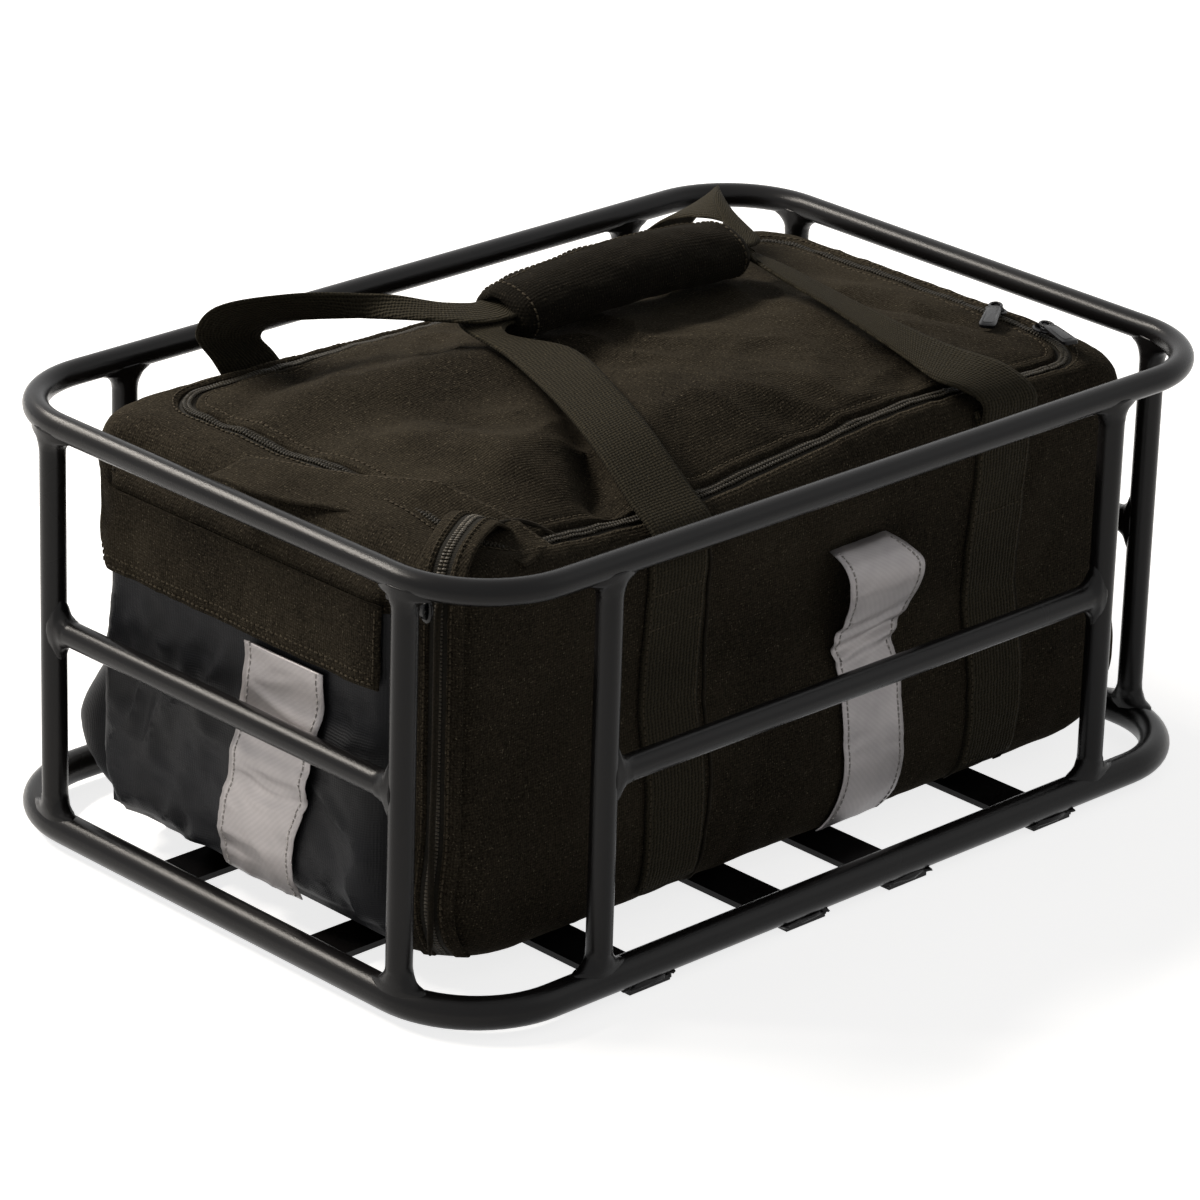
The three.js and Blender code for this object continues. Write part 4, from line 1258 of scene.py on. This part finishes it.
def handle_edge(side, legs, edge):
    way = -1 if side == "near" else 1
    outward = 1 if edge == "Outer" else -1
    foot_y = way * (HALF_Y - FOOT_INSET + FOOT_STAND)
    foot_z = FLOOR_Z + FOOT_HEIGHT
    feet = [Vector((FEET_X[side][0] - outward * STRAP_WIDTH / 2, foot_y, foot_z)),
            Vector((FEET_X[side][1] + outward * STRAP_WIDTH / 2, foot_y, foot_z))]
    y = GRIP_MIDDLE.y + outward * GRIP_WEB / 2
    z = GRIP_MIDDLE.z + way * 1.7
    ends = [Vector((GRIP_LOW.x, y, z)), Vector((GRIP_HIGH.x, y, z))]
    sides = []
    for leg, foot, end in zip(("left", "right"), feet, ends):
        points = [sag(Vector((lerp(foot.x, end.x, sx), lerp(foot.y, end.y, sy), lerp(EDGE_Z, end.z, sz))))
                  for sx, sy, sz in legs[leg + edge]]
        sides.append([sag(foot)] + points)
    shares = (-LEAD, 0, 0.33, 0.67, 1, 1 + LEAD)
    inside = [Vector((lerp(GRIP_LOW.x, GRIP_HIGH.x, s), y, z)) for s in shares]
    return catmull(sides[0] + inside + sides[1][::-1], STEPS)


def make_handle(side, legs):
    edges = [handle_edge(side, legs, "Outer"), handle_edge(side, legs, "Inner")]
    name = side + "_handle"

    def lift(t, across, length):
        return 0.5 * noise.noise(Vector((across * 1.5, length / 30, 8)))

    obj = strap(name + "_web", edges[0], edges[1], 2.2, WEBBING, lift=lift, across=12, slot="webbing",
                stands_for=[name])
    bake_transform(obj)


GRIP_STEPS = 60
GRIP_SIDES = 64


def make_grip():
    """A padded sleeve, fuller in the middle, with its closing seam along the far side."""
    rows = []
    low_x, high_x = GRIP_LOW.x - 1, GRIP_HIGH.x + 1
    half_y, half_z = (GRIP_HIGH.y - GRIP_LOW.y) / 2, (GRIP_HIGH.z - GRIP_LOW.z) / 2
    for k in range(GRIP_STEPS + 1):
        t = k / GRIP_STEPS
        x = lerp(low_x, high_x, t)
        end = min(t, 1 - t)
        full = 0.66 + 0.34 * math.sqrt(min(end / 0.07, 1) * (2 - min(end / 0.07, 1)))
        full *= 0.95 + 0.05 * math.sin(math.pi * t)
        ring = []
        for turn in turns(GRIP_SIDES):
            c, s = math.cos(turn), math.sin(turn)
            spot = Vector((x, c * 20, s * 16))
            soft = 1 + 0.05 * noise.noise(spot / 16) + 0.02 * ruffle(spot, 11, (0.5, 1, 1), 9.0)
            seam = 1 - 0.07 * math.exp(-((turn - 0.9) / 0.12) ** 2)
            flat = abs(c) ** 1.1 * math.copysign(1, c)
            arch = 5 * math.sin(math.pi * t) - 2.5
            ring.append(Vector((x, GRIP_MIDDLE.y + flat * half_y * full * soft * seam,
                                GRIP_MIDDLE.z + arch + s * half_z * full * soft * seam)))
        rows.append(ring)
    inner = []
    for ring, x in ((rows[0], low_x + 5), (rows[-1], high_x - 5)):
        inner.append([Vector((x, lerp(p.y, GRIP_MIDDLE.y, 0.16), lerp(p.z, GRIP_MIDDLE.z, 0.2)))
                      for p in ring])
    rows = [inner[0]] + rows + [inner[1]]
    grip = rows_piece("grip_sleeve", rows, SHADED_GRIP_CLOTH, body="handles",
                 slot="grip_cloth", stands_for=["handle_grip"])
    threads = Gather()
    lines = [[row[column] for row in rows[4:-4]] for column in (7, 12)]
    lines += [rows[index] + [rows[index][0]] for index in (4, -5)]
    for line in lines:
        ups = [(p - Vector((p.x, GRIP_MIDDLE.y, GRIP_MIDDLE.z))).normalized() for p in line]
        stitch(threads, [p + u * 0.2 for p, u in zip(line, ups)], ups, *WEB_STITCH)
    threads.make("grip_stitches", THREAD, body="handles", slot="grip_cloth")


make_handle("near", NEAR_LEGS)
make_handle("far", FAR_LEGS)
make_grip()

# ---- Sliders and pulls ----

SLIDER_SEAT = 1.2
PLATE_LEVEL = 0.12               # the plate's middle, as a share of the slider's height


def make_slider(name, along, up):
    """A zip slider: its waisted upper plate, with a bridge for the pull."""
    low, high = corners(name)
    hinge_side = Vector((0, ZIP_LEAN, 0)) if name == "pocket_slider" else Vector()
    middle = sag((low + high) / 2) - up * SLIDER_SEAT - hinge_side
    across = up.cross(along).normalized()
    size = high - low
    length, width, tall = (abs(size.dot(v)) for v in (along, across, up))
    parts = Gather()
    rows = []
    for rise in (-0.13, -0.07, 0.07, 0.13):
        grow = 0.9 if abs(rise) > 0.1 else 1.0
        ring = []
        for turn in turns(28):
            c, s = math.cos(turn), math.sin(turn)
            waist = 1 - 0.2 * c ** 2 * (1 if c > 0 else 0.2)
            ring.append(middle + up * (tall * (PLATE_LEVEL + rise)) + along * (c * length / 2 * grow)
                        + across * (s * width / 2 * grow * waist))
        rows.append(ring)
    parts.rows(rows)
    bridge = []
    for k in range(13):
        angle = math.pi * k / 12
        spot = (middle + along * (-math.cos(angle) * length * 0.3)
                + up * (tall * 0.2 + math.sin(angle) * tall * 0.55))
        out = (up * math.sin(angle) - along * math.cos(angle)).normalized()
        bridge.append([spot + out * (c * 0.7) + across * (s * 1.4)
                       for c, s in ((-1, -1), (1, -1), (1, 1), (-1, 1))])
    parts.rows(bridge)
    if hinge_side.length:
        arm = middle + up * (tall * 0.7) + hinge_side / 2
        parts.block(arm, hinge_side * 0.55, along * 1.4, up * 0.6, 0.9)
    parts.make(name + "_body", METAL, body=name, slot="zip_metal", stands_for=[name], sharp=40)


PULL_DROOP = -0.5


def make_pull(name, eye, direction, side, length):
    """A flat die-cast pull with a ring end, a framed face and rounded corners."""
    up = side.cross(direction).normalized()
    if up.dot(Vector((-0.3, 0, 1))) < 0:
        up = -up
    parts = Gather()
    half = 4.5

    def plate(start, end, wide_a, wide_b, thick, rise=0.0):
        rows = []
        for level, grow in ((-1, 0.86), (-0.6, 1.0), (0.6, 1.0), (1, 0.86)):
            ring = []
            for turn in turns(32):
                c, s = math.cos(turn), math.sin(turn)
                c = math.copysign(abs(c) ** 0.35, c)
                s = math.copysign(abs(s) ** 0.35, s)
                t = (c + 1) / 2
                reach = lerp(start, end, t)
                wide = lerp(wide_a, wide_b, t)
                inset = (1 - grow) * 4
                ring.append(eye + direction * (reach - math.copysign(inset, c)) + side * (s * (wide - inset))
                            + up * (rise + level * thick / 2))
            rows.append(ring)
        parts.rows(rows)

    plate(6, length, half * 0.8, half, 2.2)
    plate(10, length - 3.5, half * 0.45, half * 0.6, 0.5, 1.1)
    ring_rows = []
    for turn in turns(24):
        spot = eye + direction * (3.4 + 4.2 * math.cos(turn)) + side * (3.0 * math.sin(turn))
        out = (direction * math.cos(turn) + side * math.sin(turn)).normalized()
        ring_rows.append([spot + out * (0.8 * math.cos(a)) + up * (0.8 * math.sin(a))
                          for a in turns(10)])
    parts.rows(ring_rows, wrapped=True)
    parts.make(name + "_plate", METAL, body=name, slot="zip_metal", stands_for=[name], sharp=40)


MAIN_PULLS = {"a": (-145, 36), "b": (-112, 32)}
PULL_EYE = 1.4


def make_zip_hardware():
    upward = Vector((0, 0, 1))
    for letter, (heading, length) in MAIN_PULLS.items():
        make_slider("main_slider_" + letter, Vector((0, 1, 0)), upward)
        low, high = corners("main_slider_" + letter)
        eye = sag(Vector(((low.x + high.x) / 2, (low.y + high.y) / 2, high.z - 0.6 + PULL_EYE)))
        angle, droop = math.radians(heading), math.radians(PULL_DROOP)
        level = math.cos(droop)
        direction = Vector((math.cos(angle) * level, math.sin(angle) * level, -math.sin(droop)))
        side = Vector((-math.sin(angle), math.cos(angle), 0))
        make_pull("main_pull_" + letter, eye, direction, side, length)
    make_slider("pocket_slider", Vector((0, 0, 1)), Vector((-1, 0, 0)))
    low, high = corners("pocket_slider")
    eye_y = (low.y + high.y) / 2
    eye = Vector((low.x + 1.2 - PULL_EYE, eye_y, (low.z + high.z) / 2))
    p_low, p_high = corners("pocket_pull")
    reach = max(p_high.y - eye_y, eye_y - p_low.y)
    way = 1 if p_high.y - eye_y > eye_y - p_low.y else -1
    make_pull("pocket_pull", eye, Vector((0, way, 0)), Vector((0, 0, 1)), reach)


make_zip_hardware()


def make_lid_threads():
    threads = Gather()
    stitched_ring(threads, -4.6, 0.5)
    stitched_ring(threads, 10.8, 0.9)
    threads.make("lid_stitches", THREAD, body="bag", slot="bag_cloth")


make_lid_threads()

# ---- Stage and light ----

KEY_WAY = Vector((-0.3, 0.659, 0.69))
AIM = Vector((0, 0, 0.12))


def area_light(name, way, distance, size, power, colour):
    data = bpy.data.lights.new(name, "AREA")
    data.shape = "RECTANGLE"
    data.size, data.size_y = size
    data.energy = power
    data.color = colour
    lamp = bpy.data.objects.new(name, data)
    bpy.context.scene.collection.objects.link(lamp)
    lamp.location = AIM + way.normalized() * distance
    lamp.rotation_mode = "QUATERNION"
    lamp.rotation_quaternion = (-way).to_track_quat("-Z", "Y")


def seen_or_reflected(tree):
    """1 for rays that show the background: camera, glossy and transmission rays."""
    path = node(tree, "LightPath").outputs
    both = maths(tree, "MAXIMUM", path["Is Camera Ray"], path["Is Glossy Ray"])
    return maths(tree, "MAXIMUM", both, path["Is Transmission Ray"])


def make_world():
    world = bpy.data.worlds.new("studio")
    bpy.context.scene.world = world
    world.use_nodes = True
    tree = world.node_tree
    tree.nodes.clear()
    soft = node(tree, "Background", {"Color": (1.0, 0.985, 0.96, 1), "Strength": 0.13})
    white = node(tree, "Background", {"Color": (1, 1, 1, 1), "Strength": 1.0})
    both = node(tree, "MixShader", {0: seen_or_reflected(tree), 1: soft.outputs[0], 2: white.outputs[0]})
    out = node(tree, "OutputWorld")
    tree.links.new(both.outputs[0], out.inputs[0])


def make_floor():
    made = bpy.data.materials.new("floor")
    made.use_nodes = True
    tree = made.node_tree
    tree.nodes.clear()
    grain = noise_of(tree, object_place(tree), 3, 2)
    colour = ramp(tree, grain, (0.3, (0.78, 0.78, 0.78, 1)), (0.7, (0.8, 0.8, 0.8, 1)))
    matt = node(tree, "BsdfDiffuse", {"Color": colour})
    glow = node(tree, "Emission", {"Strength": maths(tree, "MULTIPLY", seen_or_reflected(tree), 0.8)})
    both = node(tree, "AddShader", {0: matt.outputs[0], 1: glow.outputs[0]})
    out = node(tree, "OutputMaterial")
    tree.links.new(both.outputs[0], out.inputs[0])
    mesh = bpy.data.meshes.new("floor")
    half, level = 6.0, -0.0005       # in metres
    corners_of = [(-half, -half), (half, -half), (half, half), (-half, half)]
    mesh.from_pydata([(x, y, level) for x, y in corners_of], [], [(0, 1, 2, 3)])
    mesh.materials.append(made)
    floor = bpy.data.objects.new("floor", mesh)
    bpy.context.scene.collection.objects.link(floor)


make_world()
make_floor()
area_light("key", KEY_WAY, 2.3, (1.7, 0.22), 58, (1.0, 0.93, 0.84))
area_light("fill", Vector((0.55, -0.75, 0.75)), 2.6, (1.4, 1.4), 2, (1.0, 0.97, 0.93))
bpy.context.scene.view_settings.view_transform = "Standard"
